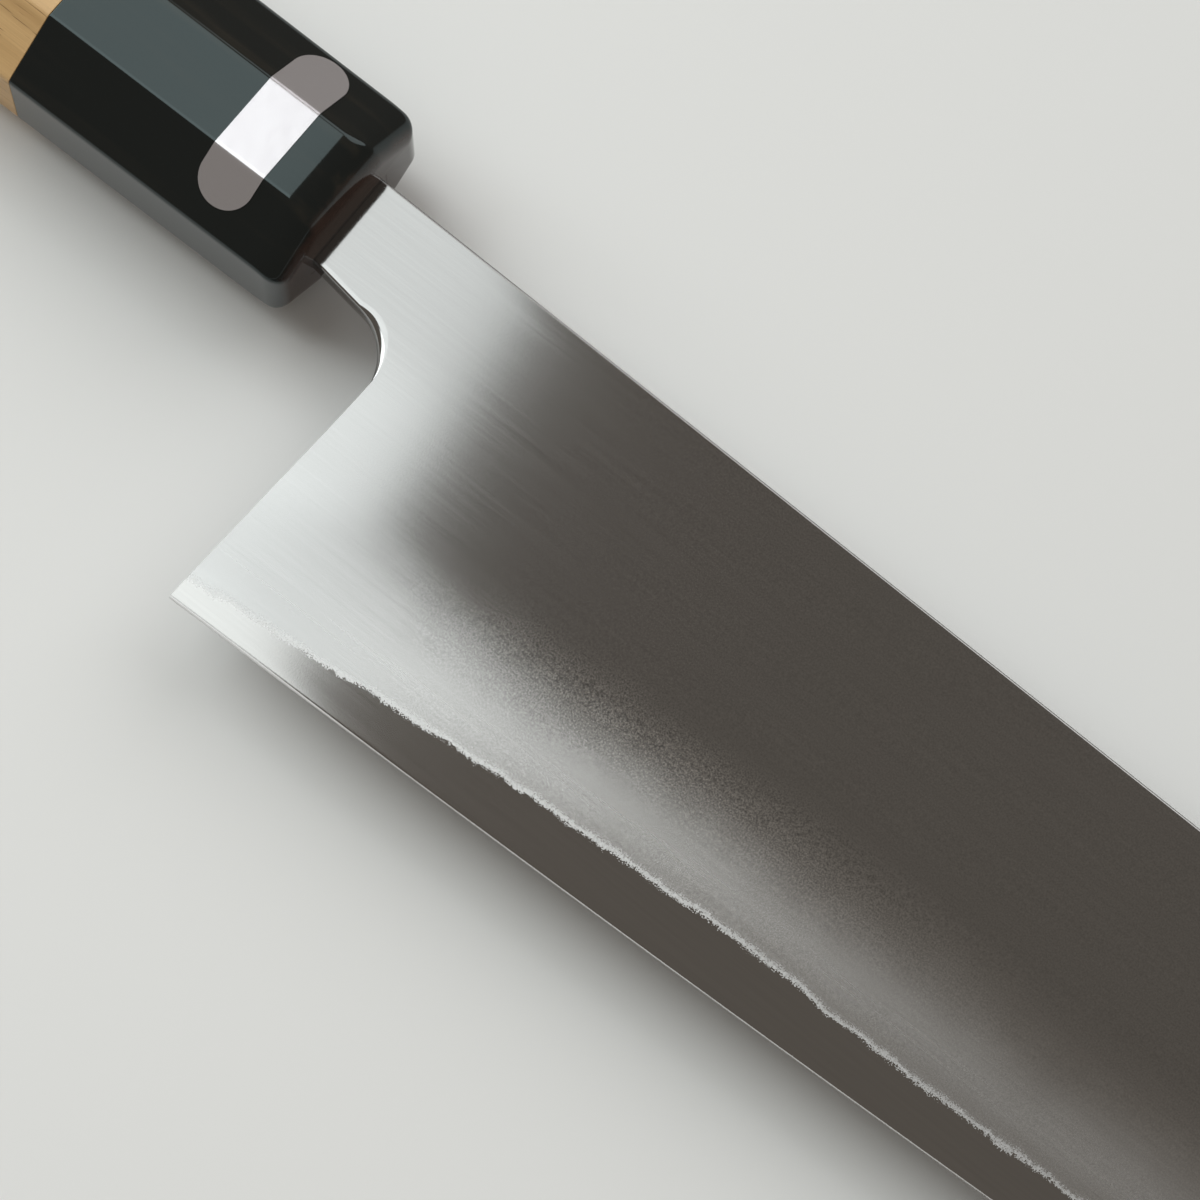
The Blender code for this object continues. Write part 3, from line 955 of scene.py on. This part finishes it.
@dataclass
class Blade:
    """Blade and hidden tang: the core and its two claddings, with eased spine and choil."""

    origin: Vector
    drawing: BladeDrawing = BladeDrawing()
    ease: float = 0.00025  # round between the faces and the spine, the neck and the heel
    choil_ease: float = 0.00160  # the same, where the choil turns
    choil_spread: float = 1.45  # how far the choil's round runs, in lengths of the choil
    ease_share: float = 0.8  # most of the cladding's thickness that it takes
    ease_reach: float = 0.2  # most of the way across the blade that it takes
    layer_gap: float = 0.00001
    gap_share: float = 0.1  # most of the cladding's thickness that the gap takes
    fan_fade: float = 0.060  # length over which the stations turn from leaning to square
    tang_steps: int = 8
    choil_steps: int = 28
    heel_steps: int = 24
    edge_pitch: float = 0.0006
    columns: int = 26
    ease_columns: int = 6
    band_columns: int = 10
    band_crowding: float = 1.6  # above 1, the band's points lie closer near the edge
    core_columns: int = 4

    def build(self) -> None:
        """Make the three layers and dress them."""
        stations = self.stations()
        core = self.build_core(stations)
        place_piece(core, "core_steel", LaminatedSteel(Slot.CORE.value).make())
        steel = LaminatedSteel(Slot.CLADDING.value).make()
        for side in Side:
            node = f"cladding_{side.name.lower()}"
            cladding = self.build_cladding(f"{node}_finished", side, stations)
            place_piece(cladding, node, steel)

    def stations(self) -> list[Station]:
        """Draw the lines across the blade. Up to the heel they have no point of the edge.

        Returns:
            The lines, from the tang's end to the tip.
        """
        draw = self.drawing
        stations = []
        for step in range(self.tang_steps + 1):
            x = -draw.tang_length * (1 - step / self.tang_steps)
            top, bottom = draw.tang_span(x)
            stations.append(Station((x, top), (x, bottom), low_ease=self.ease))
        arc = draw.choil_arc(self.choil_steps)
        first = self.heel_station(draw.heel_x)
        heel_steps = range(1, self.heel_steps)
        contour = arc + [between(arc[-1], first.line, step / self.heel_steps) for step in heel_steps]
        fan_end = first.spine[0] + draw.choil_radius
        for index, bottom in enumerate(contour):
            x = lerp(arc[0][0], fan_end, index / len(contour))
            swell = math.sin(math.pi * min(index / (self.choil_spread * self.choil_steps), 1))
            low_ease = lerp(self.ease, self.choil_ease, swell)
            stations.append(Station((x, draw.spine(x)), bottom, low_ease=low_ease))
        steps = round(draw.length / self.edge_pitch)
        for step in range(steps + 1):
            along = draw.length * step / steps
            station = self.heel_station(draw.heel_x + along)
            top_x = station.edge[0] + draw.choil_radius * max(0.0, 1 - along / self.fan_fade) ** 2
            stations.append(Station((top_x, draw.spine(top_x)), station.line, station.edge))
        return stations

    def heel_station(self, x: float) -> Station:
        """Find the edge and the core line, leaning with the heel near it. The spine is straight above.

        Args:
            x: Place of the edge.

        Returns:
            The line across the blade.
        """
        draw = self.drawing
        fade = max(0.0, 1 - (x - draw.heel_x) / draw.line_growth)
        lean = draw.heel_lean / (draw.heel_drop + draw.neck_corner()[1]) * fade
        edge, rise = draw.edge(x), draw.line_rise(x)
        return Station((x, draw.spine(x)), (x + lean * rise, edge + rise), (x, edge))

    def outer_row(self, station: Station, narrow: float) -> list[Place]:
        """Points across one side of the blade, down to the core line, with its eased ends.

        Args:
            station: The line across the blade.
            narrow: Share of its round's full width, less where the cladding is thin.

        Returns:
            For each point, its share of the way down, and its eased-off thickness at the top and below.
        """
        length = math.dist(station.spine, station.line)
        first = min(self.ease / length, self.ease_reach)
        last = 1 - min(narrow * (station.low_ease or self.ease) / length, self.ease_reach)
        angles = [math.pi / 2 * step / self.ease_columns for step in range(self.ease_columns + 1)]
        rows = [(first * (1 - math.cos(angle)), 1 - math.sin(angle), 0.0) for angle in angles]
        rows += [(lerp(first, last, step / self.columns), 0.0, 0.0) for step in range(1, self.columns)]
        return rows + [(lerp(last, 1, math.sin(angle)), 0.0, 1 - math.cos(angle)) for angle in angles]

    def build_cladding(self, name: str, side: Side, stations: list[Station]) -> Piece:
        """Make one cladding.

        Args:
            name: Name of the piece.
            side: Its side of the blade.
            stations: Lines across the blade.

        Returns:
            The new object.
        """
        draw = self.drawing
        shell = Shell(name, self.origin, list(Note))
        outer, inner = [], []
        for station in stations:
            if station.line[0] > draw.tip_x - draw.cladding_end:
                break
            thin = draw.face_half(*station.spine) - draw.core_half(station, 0.0)
            top_ease = min(self.ease, self.ease_share * thin)
            thin = draw.face_half(*station.line) - draw.core_half(station, 1.0)
            low_ease = min(station.low_ease, self.ease_share * thin)
            outer_row, inner_row = [], []
            for share, top, low in self.outer_row(station, min(self.ease_share * thin / self.ease, 1.0)):
                x, y = between(station.spine, station.line, share)
                notes = draw.notes(x, y)
                face, core = draw.face_half(x, y), draw.core_half(station, share)
                half = face - top * top_ease - low * low_ease
                outer_row.append(shell.point((x, y, side.value * half), notes))
                half = core + min(self.layer_gap, self.gap_share * (face - core))
                inner_row.append(shell.point((x, y, side.value * half), notes))
            outer.append(outer_row)
            inner.append(inner_row)
        shell.quilt(outer)
        shell.quilt(inner)
        for end in (0, -1):
            shell.quilt([outer[end], inner[end]])
            shell.quilt([[row[end] for row in outer], [row[end] for row in inner]])
        cladding = shell.finish()
        smooth(cladding)
        return cladding

    def build_core(self, stations: list[Station]) -> Piece:
        """Make the core: thin between the claddings and in the tang, full to the faces along the edge.

        Args:
            stations: Lines across the blade.

        Returns:
            The new object.
        """
        draw = self.drawing
        shell = Shell("core_steel_finished", self.origin, list(Note))
        web: dict[Side, list] = {side: [] for side in Side}
        band: dict[Side, list] = {side: [] for side in Side}
        for station in stations:
            for side in Side:
                row = []
                for column in range(self.core_columns + 1):
                    share = column / self.core_columns
                    x, y = between(station.spine, station.line, share)
                    half = draw.core_half(station, share)
                    row.append(shell.point((x, y, side.value * half), draw.notes(x, y)))
                web[side].append(row)
                if station.edge is None:
                    continue
                row = []
                for column in range(self.band_columns + 1):
                    share = 1 - (1 - column / self.band_columns) ** self.band_crowding
                    x, y = between(station.line, station.edge, share)
                    row.append(shell.point((x, y, side.value * draw.face_half(x, y)), draw.notes(x, y)))
                band[side].append(row)
        self.close_core(shell, web, band)
        core = shell.finish()
        smooth(core)
        return core

    def close_core(self, shell: Shell, web: dict[Side, list], band: dict[Side, list]) -> None:
        """Join the core's faces into one closed body.

        Args:
            shell: The mesh.
            web: Rows of points under the claddings, for each side.
            band: Rows of points of the bare band, for each side.
        """
        right, left = web[Side.RIGHT], web[Side.LEFT]
        first = len(right) - len(band[Side.RIGHT])
        for side in Side:
            shell.quilt(web[side])
            shell.quilt(band[side])
            shell.quilt([[row[-1] for row in web[side][first:]], [row[0] for row in band[side]]])
        shell.quilt([[row[0] for row in right], [row[0] for row in left]])
        shell.quilt([right[0], left[0]])
        shell.quilt([[row[-1] for row in right[: first + 1]], [row[-1] for row in left[: first + 1]]])
        shell.quilt([[row[-1] for row in band[side]] for side in Side])
        for end, inner in ((0, first), (-1, -1)):
            up, down = band[Side.RIGHT][end], band[Side.LEFT][end]
            shell.mesh.faces.new((up[0], up[1], down[1], down[0], left[inner][-1], right[inner][-1]))
            shell.quilt([up[1:], down[1:]])
        shell.quilt([right[-1], left[-1]])


# Shapes made by node trees


class ShapeTree(Graph):
    """Geometry Nodes tree of one shape, with named inputs for its sizes, its place and its material."""

    sizes: tuple[str, ...] = ()

    def __init__(self, name: str) -> None:
        """Build the whole tree, which ends in plain geometry with its material.

        Args:
            name: Name of the tree.
        """
        super().__init__(bpy.data.node_groups.new(name, "GeometryNodeTree"))
        self.tree.is_modifier = True
        self.identifiers: dict[str, str] = {}
        self.inputs = self.add("NodeGroupInput")
        self.size = {size: Field(self, self.socket(size, "NodeSocketFloat")) for size in self.sizes}
        self.origin = self.socket("Origin", "NodeSocketVector")
        material = self.socket("Material", "NodeSocketMaterial")
        self.tree.interface.new_socket("Geometry", in_out="OUTPUT", socket_type="NodeSocketGeometry")
        real = self.add("GeometryNodeRealizeInstances", {0: self.shape()})
        dressed = self.add("GeometryNodeSetMaterial", {"Geometry": real.outputs[0], "Material": material})
        self.add("NodeGroupOutput", {0: dressed.outputs[0]})

    def socket(self, name: str, kind: str) -> Socket:
        """Add a named input.

        Args:
            name: Its name.
            kind: Blender's name for its type.

        Returns:
            Its socket in the tree.
        """
        item = self.tree.interface.new_socket(name, in_out="INPUT", socket_type=kind)
        self.identifiers[name] = item.identifier
        return self.inputs.outputs[name]

    def shape(self) -> Socket:
        """Build the shape. Each kind of tree has its own."""
        raise NotImplementedError

    def moved(self, geometry: Socket, place: Socket) -> Socket:
        """Geometry with every point moved to a place."""
        return self.add("GeometryNodeSetPosition", {"Geometry": geometry, "Position": place}).outputs[0]

    def shifted(self, geometry: Socket) -> Socket:
        """Geometry brought from the drawing's origin to its place in the frame."""
        feeds = {"Geometry": geometry, "Translation": self.origin}
        return self.add("GeometryNodeTransform", feeds).outputs[0]

    def piece(self, name: str, values: dict[str, object]) -> Piece:
        """Add an object that has this shape.

        Args:
            name: Name of the piece.
            values: A value for each input.

        Returns:
            The object, with its modifier still live.
        """
        piece = new_object(name, bpy.data.meshes.new(name))
        modifier = piece.modifiers.new("shape", "NODES")
        modifier.node_group = self.tree
        for socket, value in values.items():
            modifier[self.identifiers[socket]] = value
        return piece


# Handle


@dataclass(frozen=True)
class HandleDrawing:
    """Sizes of the eight-sided handle and of the joint inside it."""

    length: float = 0.145
    front_height: float = 0.0200
    front_thick: float = 0.0165
    butt_height: float = 0.0218
    butt_thick: float = 0.0182
    side_facet: float = 0.0078
    top_facet: float = 0.0088
    fold_radius: float = 0.0009
    ferrule_length: float = 0.0304
    front_reach: float = 0.0008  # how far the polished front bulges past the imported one
    front_round: float = 0.0036  # on the flat sides
    front_round_edge: float = 0.0018  # on the top and the underside
    butt_round: float = 0.0010
    joint_ease: float = 0.00008
    joint_gap: float = 0.00003
    front_wall: float = 0.0060
    socket_radius: float = 0.0070
    socket_gap: float = 0.0003
    tang_ease: float = 0.00025
    tang_gap: float = 0.00002
    bed_wall: float = 0.00055
    bed_end: float = 0.0021
    bed_gap: float = 0.00001
    bed_sink: float = 0.00002  # hollow of the resin's front between the horn and the blade
    cutter_reach: float = 0.003

    @property
    def joint_x(self) -> float:
        """Where the ferrule ends."""
        return -self.ferrule_length


class EightSidedTree(ShapeTree):
    """Eight-sided body that widens along the handle, with rounded ends.

    Each ring's outline is the smooth limit of its eight sides, so one rule gives flats and folds.
    """

    sizes = (
        "Front X", "Back X", "Front Round", "Front Round Edge", "Back Round", "Length", "Front Height",
        "Front Thick", "Butt Height", "Butt Thick", "Side Facet", "Top Facet", "Fold Radius",
    )
    around: int = 384
    end_rings: int = 16
    rings: int = 36
    smooth_scale: float = 6.0  # depth of a smooth maximum, for each unit of its distance

    def shape(self) -> Socket:
        """Bend a plain tube of rings to the body's rule.

        Returns:
            The shaped geometry.
        """
        size = self.size
        feeds = {"Vertices": self.around, "Side Segments": self.rings, "Depth": 1.0}
        tube = self.add("GeometryNodeMeshCylinder", feeds).outputs["Mesh"]
        cosine, sine, height = self.parts(self.add("GeometryNodeInputPosition").outputs[0])
        ring = (height + 0.5) * float(self.rings)  # counted from the back
        back = self.math("MULTIPLY", ring, 1 / self.end_rings, clamp=True) * (math.pi / 2)
        front = self.math("MULTIPLY", self.rings - ring, 1 / self.end_rings, clamp=True) * (math.pi / 2)
        middle = self.math("DIVIDE", ring - self.end_rings, self.rings - 2.0 * self.end_rings, clamp=True)
        straight = size["Front X"] - size["Back X"] - size["Front Round"] - size["Back Round"]
        x = size["Back X"] + size["Back Round"] * (1.0 - self.math("COSINE", back))
        x = x + straight * middle + size["Front Round"] * self.math("COSINE", front)
        inset = size["Back Round"] * (1.0 - self.math("SINE", back))
        side_inset = inset + size["Front Round"] * (1.0 - self.math("SINE", front))
        edge = size["Front Round Edge"]
        past = self.math("MULTIPLY", (x - size["Front X"] + edge) / edge, 1.0, clamp=True)
        top_inset = inset + edge * (1.0 - self.math("SQRT", 1.0 - past * past))
        radius = self.radius(cosine, sine, x, side_inset, top_inset)
        return self.shifted(self.moved(tube, self.vector(x, radius * cosine, radius * sine)))

    def radius(self, cosine: Field, sine: Field, x: Field, side_inset: Field, top_inset: Field) -> Field:
        """Distance from the axis to the surface.

        Args:
            cosine: Share of the direction along Y.
            sine: Share of the direction along Z.
            x: Place along the handle.
            side_inset: How far the flat sides are drawn in.
            top_inset: How far the top and the underside are drawn in.

        Returns:
            The distance.
        """
        size = self.size
        along = x / (0.0 - size["Length"])
        height = self.blend(size["Front Height"], size["Butt Height"], along)
        thick = self.blend(size["Front Thick"], size["Butt Thick"], along)
        side = size["Side Facet"] * height / size["Front Height"]
        top = size["Top Facet"] * thick / size["Front Thick"]
        run, drop = (height - side) / 2.0, (thick - top) / 2.0
        turn = self.math("ARCTAN2", drop, run)
        lean_y, lean_z = self.math("SINE", turn), self.math("COSINE", turn)
        reach = (height * lean_y + top * lean_z) / 2.0
        up, out = abs(cosine), abs(sine)
        over_top = up / (height / 2.0 - top_inset)
        over_side = out / (thick / 2.0 - side_inset)
        over_slope = (up * lean_y + out * lean_z) / (reach - (side_inset + top_inset) / 2.0)
        side_fold = self.fold(turn, side, thick)
        top_fold = self.fold(math.pi / 2 - turn, height, top)
        outline = self.math("SMOOTH_MAX", over_slope, over_side, side_fold)
        return 1.0 / self.math("SMOOTH_MAX", outline, over_top, top_fold)

    def fold(self, turn: Field, width: Field, depth: Field) -> Field:
        """Distance of the smooth maximum that rounds a fold to the fold radius.

        Args:
            turn: Angle by which the surface turns there.
            width: Twice the fold's place along Y.
            depth: Twice the fold's place along Z.

        Returns:
            The distance.
        """
        cut_off = 1.0 / self.math("COSINE", turn / 2.0) - 1.0
        away = (width * width + depth * depth) / 4.0
        return self.size["Fold Radius"] * cut_off * self.smooth_scale / away


@dataclass
class Handle:
    """Horn ferrule, wooden body and the resin bed of the tang."""

    origin: Vector
    drawing: HandleDrawing = HandleDrawing()
    blade: BladeDrawing = BladeDrawing()
    circle_steps: int = 96
    corner_steps: int = 8
    sharp_angle: float = 25.0  # in degrees

    def build(self) -> Piece:
        """Make the ferrule, the body and the bed, and dress them.

        Returns:
            The ferrule, which carries the label.
        """
        size = self.drawing
        horn, wood = PolishedHorn().make(), OiledWood().make()
        tree = EightSidedTree("eight_sided_body")
        open_end = size.joint_x - size.cutter_reach
        socket = self.rod("socket", size.socket_radius, -size.front_wall, open_end)
        tenon_front = -size.front_wall - size.socket_gap
        tenon = self.rod("tenon", size.socket_radius - size.joint_gap, tenon_front, open_end)
        hole = self.tang_hole()
        ends = (size.front_reach, size.joint_x)
        rounds = (size.front_round, size.front_round_edge, size.joint_ease)
        ferrule = tree.piece("ferrule_finished", self.inputs(ends, rounds, horn))
        self.join(ferrule, socket, Joining.CUT)
        self.join(ferrule, hole, Joining.CUT)
        ends = (size.joint_x - size.joint_gap, -size.length)
        rounds = (size.joint_ease, size.joint_ease, size.butt_round)
        handle = tree.piece("handle_body_finished", self.inputs(ends, rounds, wood))
        self.join(handle, tenon, Joining.ADD)
        self.join(handle, hole, Joining.CUT)
        for piece, node, slot, material in (
            (ferrule, "ferrule", Slot.HORN, horn),
            (handle, "handle_body", Slot.WOOD, wood),
        ):
            bake(piece)
            smooth(piece, self.sharp_angle)
            place_piece(piece, node, material)
        for guide in (socket, tenon, hole):
            bpy.data.objects.remove(guide)
        self.build_bed()
        return ferrule

    def inputs(self, ends: Point, rounds: Place, material: bpy.types.Material) -> dict[str, object]:
        """Gather the values for the tree's inputs.

        Args:
            ends: Front and back of the piece along the handle.
            rounds: Rounds at its front, on the flat sides and on the top, and at its back.
            material: Its finish.

        Returns:
            The value of each input.
        """
        size = self.drawing
        shared = (size.length, size.front_height, size.front_thick, size.butt_height, size.butt_thick)
        shared += (size.side_facet, size.top_facet, size.fold_radius)
        named = dict(zip(EightSidedTree.sizes, (*ends, *rounds, *shared), strict=True))
        return {**named, "Origin": self.origin[:], "Material": material}

    def join(self, piece: Piece, guide: Piece, joining: Joining) -> None:
        """Cut a piece with a guide, or add the guide to it.

        Args:
            piece: The piece.
            guide: The guide.
            joining: Which of the two.
        """
        modifier = piece.modifiers.new(guide.name, "BOOLEAN")
        modifier.operation = joining.value
        modifier.solver = "EXACT"
        modifier.object = guide

    def rod(self, name: str, radius: float, front: float, back: float) -> Piece:
        """Make a guide: a round rod along the handle's axis.

        Args:
            name: Name of the guide.
            radius: Its radius.
            front: Where it starts.
            back: Where it ends.

        Returns:
            The guide.
        """
        shell = Shell(name, self.origin)
        section = circle(radius, self.circle_steps)
        shell.loft([[(x, *point) for point in section] for x in (front, back)])
        return shell.finish()

    def rings(self, stops: Sequence[float], margin: float, back: float) -> list[list[Place]]:
        """Outlines round the tang, with one more past its end.

        Args:
            stops: Places along the tang.
            margin: Distance of each outline from the tang.
            back: Where the last one is.

        Returns:
            The outlines, from front to back.
        """
        ease, steps = self.drawing.tang_ease, self.corner_steps
        rings = [self.blade.tang_ring(x, ease, margin, steps) for x in (*stops, -self.blade.tang_length)]
        return rings + [[(back, y, z) for _, y, z in rings[-1]]]

    def tang_hole(self) -> Piece:
        """Make a guide: the space for the tang and its bed, open in front.

        Returns:
            The guide.
        """
        size = self.drawing
        back = -self.blade.tang_length - size.bed_end
        shell = Shell("tang_hole", self.origin)
        shell.loft(self.rings((size.cutter_reach, 0.0), size.bed_wall, back))
        return shell.finish()

    def build_bed(self) -> None:
        """Make the resin bed, up to the ferrule's front, where its surface is slightly hollow."""
        size = self.drawing
        front = size.front_reach - size.bed_gap
        back = -self.blade.tang_length
        shell = Shell("tang_bed_finished", self.origin)
        wall = size.bed_wall - size.bed_gap
        outer = self.rings((front, 0.0), wall, back - size.bed_end + size.bed_gap)
        inner = self.rings((front, 0.0), size.tang_gap, back - size.tang_gap)
        hollow = self.blade.tang_ring(front, size.tang_ease, wall / 2, self.corner_steps)
        hollow = [(x - size.bed_sink, y, z) for x, y, z in hollow]
        shell.loft([*outer[::-1], hollow, *inner])
        bed = shell.finish()
        smooth(bed)
        place_piece(bed, "tang_bed", BeddingResin().make())


# Label


class WrapTree(ShapeTree):
    """Obround sheet that is laid round a carrier's side and follows its surface."""

    sizes = ("Width", "Length", "Centre X", "Shift", "Flat", "Flat Height", "Slope", "Fold Radius", "Gap")
    across: int = 21
    along: int = 161
    tip_angle: float = math.radians(3.0)  # where the round ends stop, short of a point

    def shape(self) -> Socket:
        """Fold the sheet and seat it on its carrier."""
        return self.seated(self.wrapped(), self.socket("Carrier", "NodeSocketObject"))

    def wrapped(self) -> Socket:
        """Cut the sheet to its obround and fold it down on both sides of the flat.

        Returns:
            The folded sheet, close over the carrier.
        """
        size = self.size
        feeds = {"Size X": 1.0, "Size Y": 1.0, "Vertices X": self.across, "Vertices Y": self.along}
        sheet = self.add("GeometryNodeMeshGrid", feeds).outputs["Mesh"]
        side, way, _ = self.parts(self.add("GeometryNodeInputPosition").outputs[0])
        part = abs(way) * 4.0  # 1 where the round ends start, 2 at their tips
        straight = self.math("MULTIPLY", part, 1.0, clamp=True)
        end = self.math("SUBTRACT", part, 1.0, clamp=True)
        angle = self.blend(math.pi / 2, self.tip_angle, end)
        radius = size["Width"] / 2.0
        reach = straight * (size["Length"] / 2.0 - radius) + radius * self.math("COSINE", angle)
        place = reach * self.math("SIGN", way) + size["Shift"]
        x = size["Centre X"] + side * size["Width"] * self.math("SINE", angle)
        past = abs(place) - size["Flat"] / 2.0
        past = self.math("SMOOTH_MAX", past, 0.0, size["Fold Radius"])
        y = self.math("SIGN", place) * (abs(place) - past * (1.0 - self.math("COSINE", size["Slope"])))
        z = size["Flat Height"] - past * self.math("SINE", size["Slope"])
        return self.shifted(self.moved(sheet, self.vector(x, y, z)))

    def seated(self, sheet: Socket, carrier: Socket) -> Socket:
        """Bring every point of the sheet to the same small distance from the carrier.

        Args:
            sheet: The folded sheet.
            carrier: The object under it.

        Returns:
            The seated sheet.
        """
        info = self.add("GeometryNodeObjectInfo", {"Object": carrier}, transform_space="ORIGINAL")
        near = self.add("GeometryNodeProximity", {0: info.outputs["Geometry"]}, target_element="FACES")
        here, base = self.add("GeometryNodeInputPosition").outputs[0], near.outputs["Position"]
        out = self.arrow("NORMALIZE", {0: self.arrow("SUBTRACT", {0: here, 1: base})})
        lift = self.arrow("SCALE", {0: out, "Scale": self.size["Gap"]})
        return self.moved(sheet, self.arrow("ADD", {0: base, 1: lift}))


@dataclass
class Label:
    """Bare foil label that is wrapped over the ferrule's flat side."""

    origin: Vector
    carrier: Piece
    handle: HandleDrawing = HandleDrawing()
    width: float = 0.0056
    length: float = 0.0196
    centre_x: float = -0.0084
    upper_lap: float = 0.0067  # part of its length past the flat side's upper fold
    thick: float = 0.00006
    gap: float = 0.00003
    hover: float = 0.0004  # how high the folded sheet starts over the ferrule
    sharp_angle: float = 40.0  # in degrees

    def build(self) -> None:
        """Make the label and dress it."""
        size = self.handle
        foil = SilverFoil().make()
        along = -self.centre_x / size.length
        height = lerp(size.front_height, size.butt_height, along)
        thick = lerp(size.front_thick, size.butt_thick, along)
        flat = size.side_facet * height / size.front_height
        top = size.top_facet * thick / size.front_thick
        label = WrapTree("wrapped_label").piece("label_finished", {
            "Width": self.width, "Length": self.length, "Centre X": self.centre_x,
            "Shift": flat / 2 + self.upper_lap - self.length / 2, "Flat": flat,
            "Flat Height": thick / 2 + self.hover, "Slope": math.atan2(thick - top, height - flat),
            "Fold Radius": size.fold_radius, "Gap": self.gap, "Origin": self.origin[:],
            "Carrier": self.carrier, "Material": foil,
        })
        solid = label.modifiers.new("thickness", "SOLIDIFY")
        solid.thickness = self.thick
        solid.offset = 1.0
        bake(label)
        smooth(label, self.sharp_angle)
        place_piece(label, "label", foil)


# Room


@dataclass(frozen=True)
class Softbox:
    """Flat lamp that is seen only by what it lights and by what mirrors it."""

    name: str
    place: Place
    size: Point
    radiance: float
    turn: float = 0.0  # in its own plane, in degrees
    aim: Place = (0.0, 0.0, -1.0)
    colour: Colour = (0.94, 1.0, 1.0)

    def build(self, origin: Vector) -> None:
        """Hang the lamp.

        Args:
            origin: Where the drawing's origin lies in the frame.
        """
        data = bpy.data.lights.new(self.name, "AREA")
        data.shape = "RECTANGLE"
        data.size, data.size_y = self.size
        data.energy = self.radiance * math.pi * self.size[0] * self.size[1]
        data.color = self.colour
        lamp = new_object(self.name, data)
        turn = Matrix.Rotation(math.radians(self.turn), 3, "Z")
        pose = (Vector(self.aim).to_track_quat("-Z", "Y").to_matrix() @ turn).to_4x4()
        lamp.matrix_world = Matrix.Translation(origin + Vector(self.place)) @ pose
        lamp.visible_camera = False


@dataclass(frozen=True)
class Daylight:
    """Broad even light from one side of the room."""

    name: str
    towards: Place  # from the knife to where it comes from
    strength: float
    spread: float  # in degrees

    def build(self) -> None:
        """Add the light."""
        data = bpy.data.lights.new(self.name, "SUN")
        data.energy = self.strength
        data.angle = math.radians(self.spread)
        lamp = new_object(self.name, data)
        lamp.rotation_euler = Vector(self.towards).to_track_quat("Z", "Y").to_euler()


@dataclass(frozen=True)
class PhotoCamera:
    """Camera at the photograph's viewing angle, found from the knife's outline there."""

    place: Place = (0.12479, -0.11994, 0.47339)
    heading: float = -38.45  # of the blade in the picture, in degrees
    tilt: float = 16.0  # away from straight down
    roll: float = 0.30
    focal: float = 4.6575  # in widths of the picture
    sensor: float = 36.0
    clip: Point = (0.01, 50.0)

    def build(self, origin: Vector) -> None:
        """Set up the camera.

        Args:
            origin: Where the drawing's origin lies in the frame.
        """
        heading, tilt, roll = (math.radians(angle) for angle in (self.heading, self.tilt, self.roll))
        turn = Matrix.Rotation(-heading, 3, "Z")
        right = turn @ Vector((1.0, 0.0, 0.0))
        up = turn @ Vector((0.0, math.cos(tilt), math.sin(tilt)))
        back = turn @ Vector((0.0, -math.sin(tilt), math.cos(tilt)))
        rolled = right * math.cos(roll) + up * math.sin(roll)
        up = up * math.cos(roll) - right * math.sin(roll)
        data = bpy.data.cameras.new("camera")
        data.sensor_width = self.sensor
        data.lens = self.focal * self.sensor
        data.clip_start, data.clip_end = self.clip
        camera = new_object("camera", data)
        pose = Matrix((rolled, up, back)).transposed().to_4x4()
        camera.matrix_world = Matrix.Translation(origin + Vector(self.place)) @ pose
        bpy.context.scene.camera = camera


@dataclass
class Studio:
    """Pale floor, soft light and camera."""

    origin: Vector
    floor_finish: Finish = Finish("pale_floor", (0.74, 0.74, 0.735), 0.85)
    floor_radius: float = 8.0
    floor_sides: int = 96
    lamp_turn: float = 4.2  # of the overhead lamps, in degrees
    side_light: Daylight = Daylight("side_light", (0.15, 0.72, 0.68), strength=0.9, spread=50.0)
    sky: Colour = (0.243, 0.217, 0.188)

    def build(self) -> None:
        """Put the room round the knife."""
        self.build_floor()
        for lamp in self.lamps():
            lamp.build(self.origin)
        self.side_light.build()
        PhotoCamera().build(self.origin)
        world = bpy.data.worlds.new("room")
        world.use_nodes = True
        world.node_tree.nodes["Background"].inputs["Color"].default_value = (*self.sky, 1.0)
        bpy.context.scene.world = world
        bpy.context.scene.view_settings.view_transform = "Standard"
        LOG.info("room: floor, lights and camera")

    def lamps(self) -> list[Softbox]:
        """List the overhead lamp that the flat side and the heel mirror, its brighter half and a low window.

        Returns:
            The lamps.
        """
        return [
            self.overhead("overhead", (-0.1080, 0.090, 0.600), (0.355, 0.420), 2.00),
            self.overhead("overhead_brighter", (-0.1005, -0.010, 0.590), (0.355, 0.220), 0.57),
            Softbox("window", (-1.180, 0.062, 0.924), (1.05, 1.20), 4.0, aim=(0.787, -0.041, -0.616)),
        ]

    def overhead(self, name: str, edge: Place, size: Point, radiance: float) -> Softbox:
        """Place a horizontal lamp.

        Args:
            name: Its name.
            edge: Middle of its edge on the tip's side.
            size: Its length and width.
            radiance: How bright it is.

        Returns:
            The lamp.
        """
        x, y = polar(edge[:2], math.radians(self.lamp_turn) + math.pi, size[0] / 2)
        return Softbox(name, (x, y, edge[2]), size, radiance, self.lamp_turn)

    def build_floor(self) -> None:
        """Lay the floor under the knife."""
        mesh = bmesh.new()
        rim = circle(self.floor_radius, self.floor_sides)
        mesh.faces.new([mesh.verts.new((*point, 0.0)) for point in rim])
        data = bpy.data.meshes.new("floor")
        mesh.to_mesh(data)
        mesh.free()
        floor = new_object("floor", data)
        data.materials.append(self.floor_finish.make())


def main() -> None:
    """Build the knife's pieces in order, then the room round them."""
    logging.basicConfig(level=logging.INFO, format="%(name)s %(message)s")
    origin = drawing_origin()
    Blade(origin).build()
    Label(origin, Handle(origin).build()).build()
    Studio(origin).build()


if __name__ == "__main__":
    main()
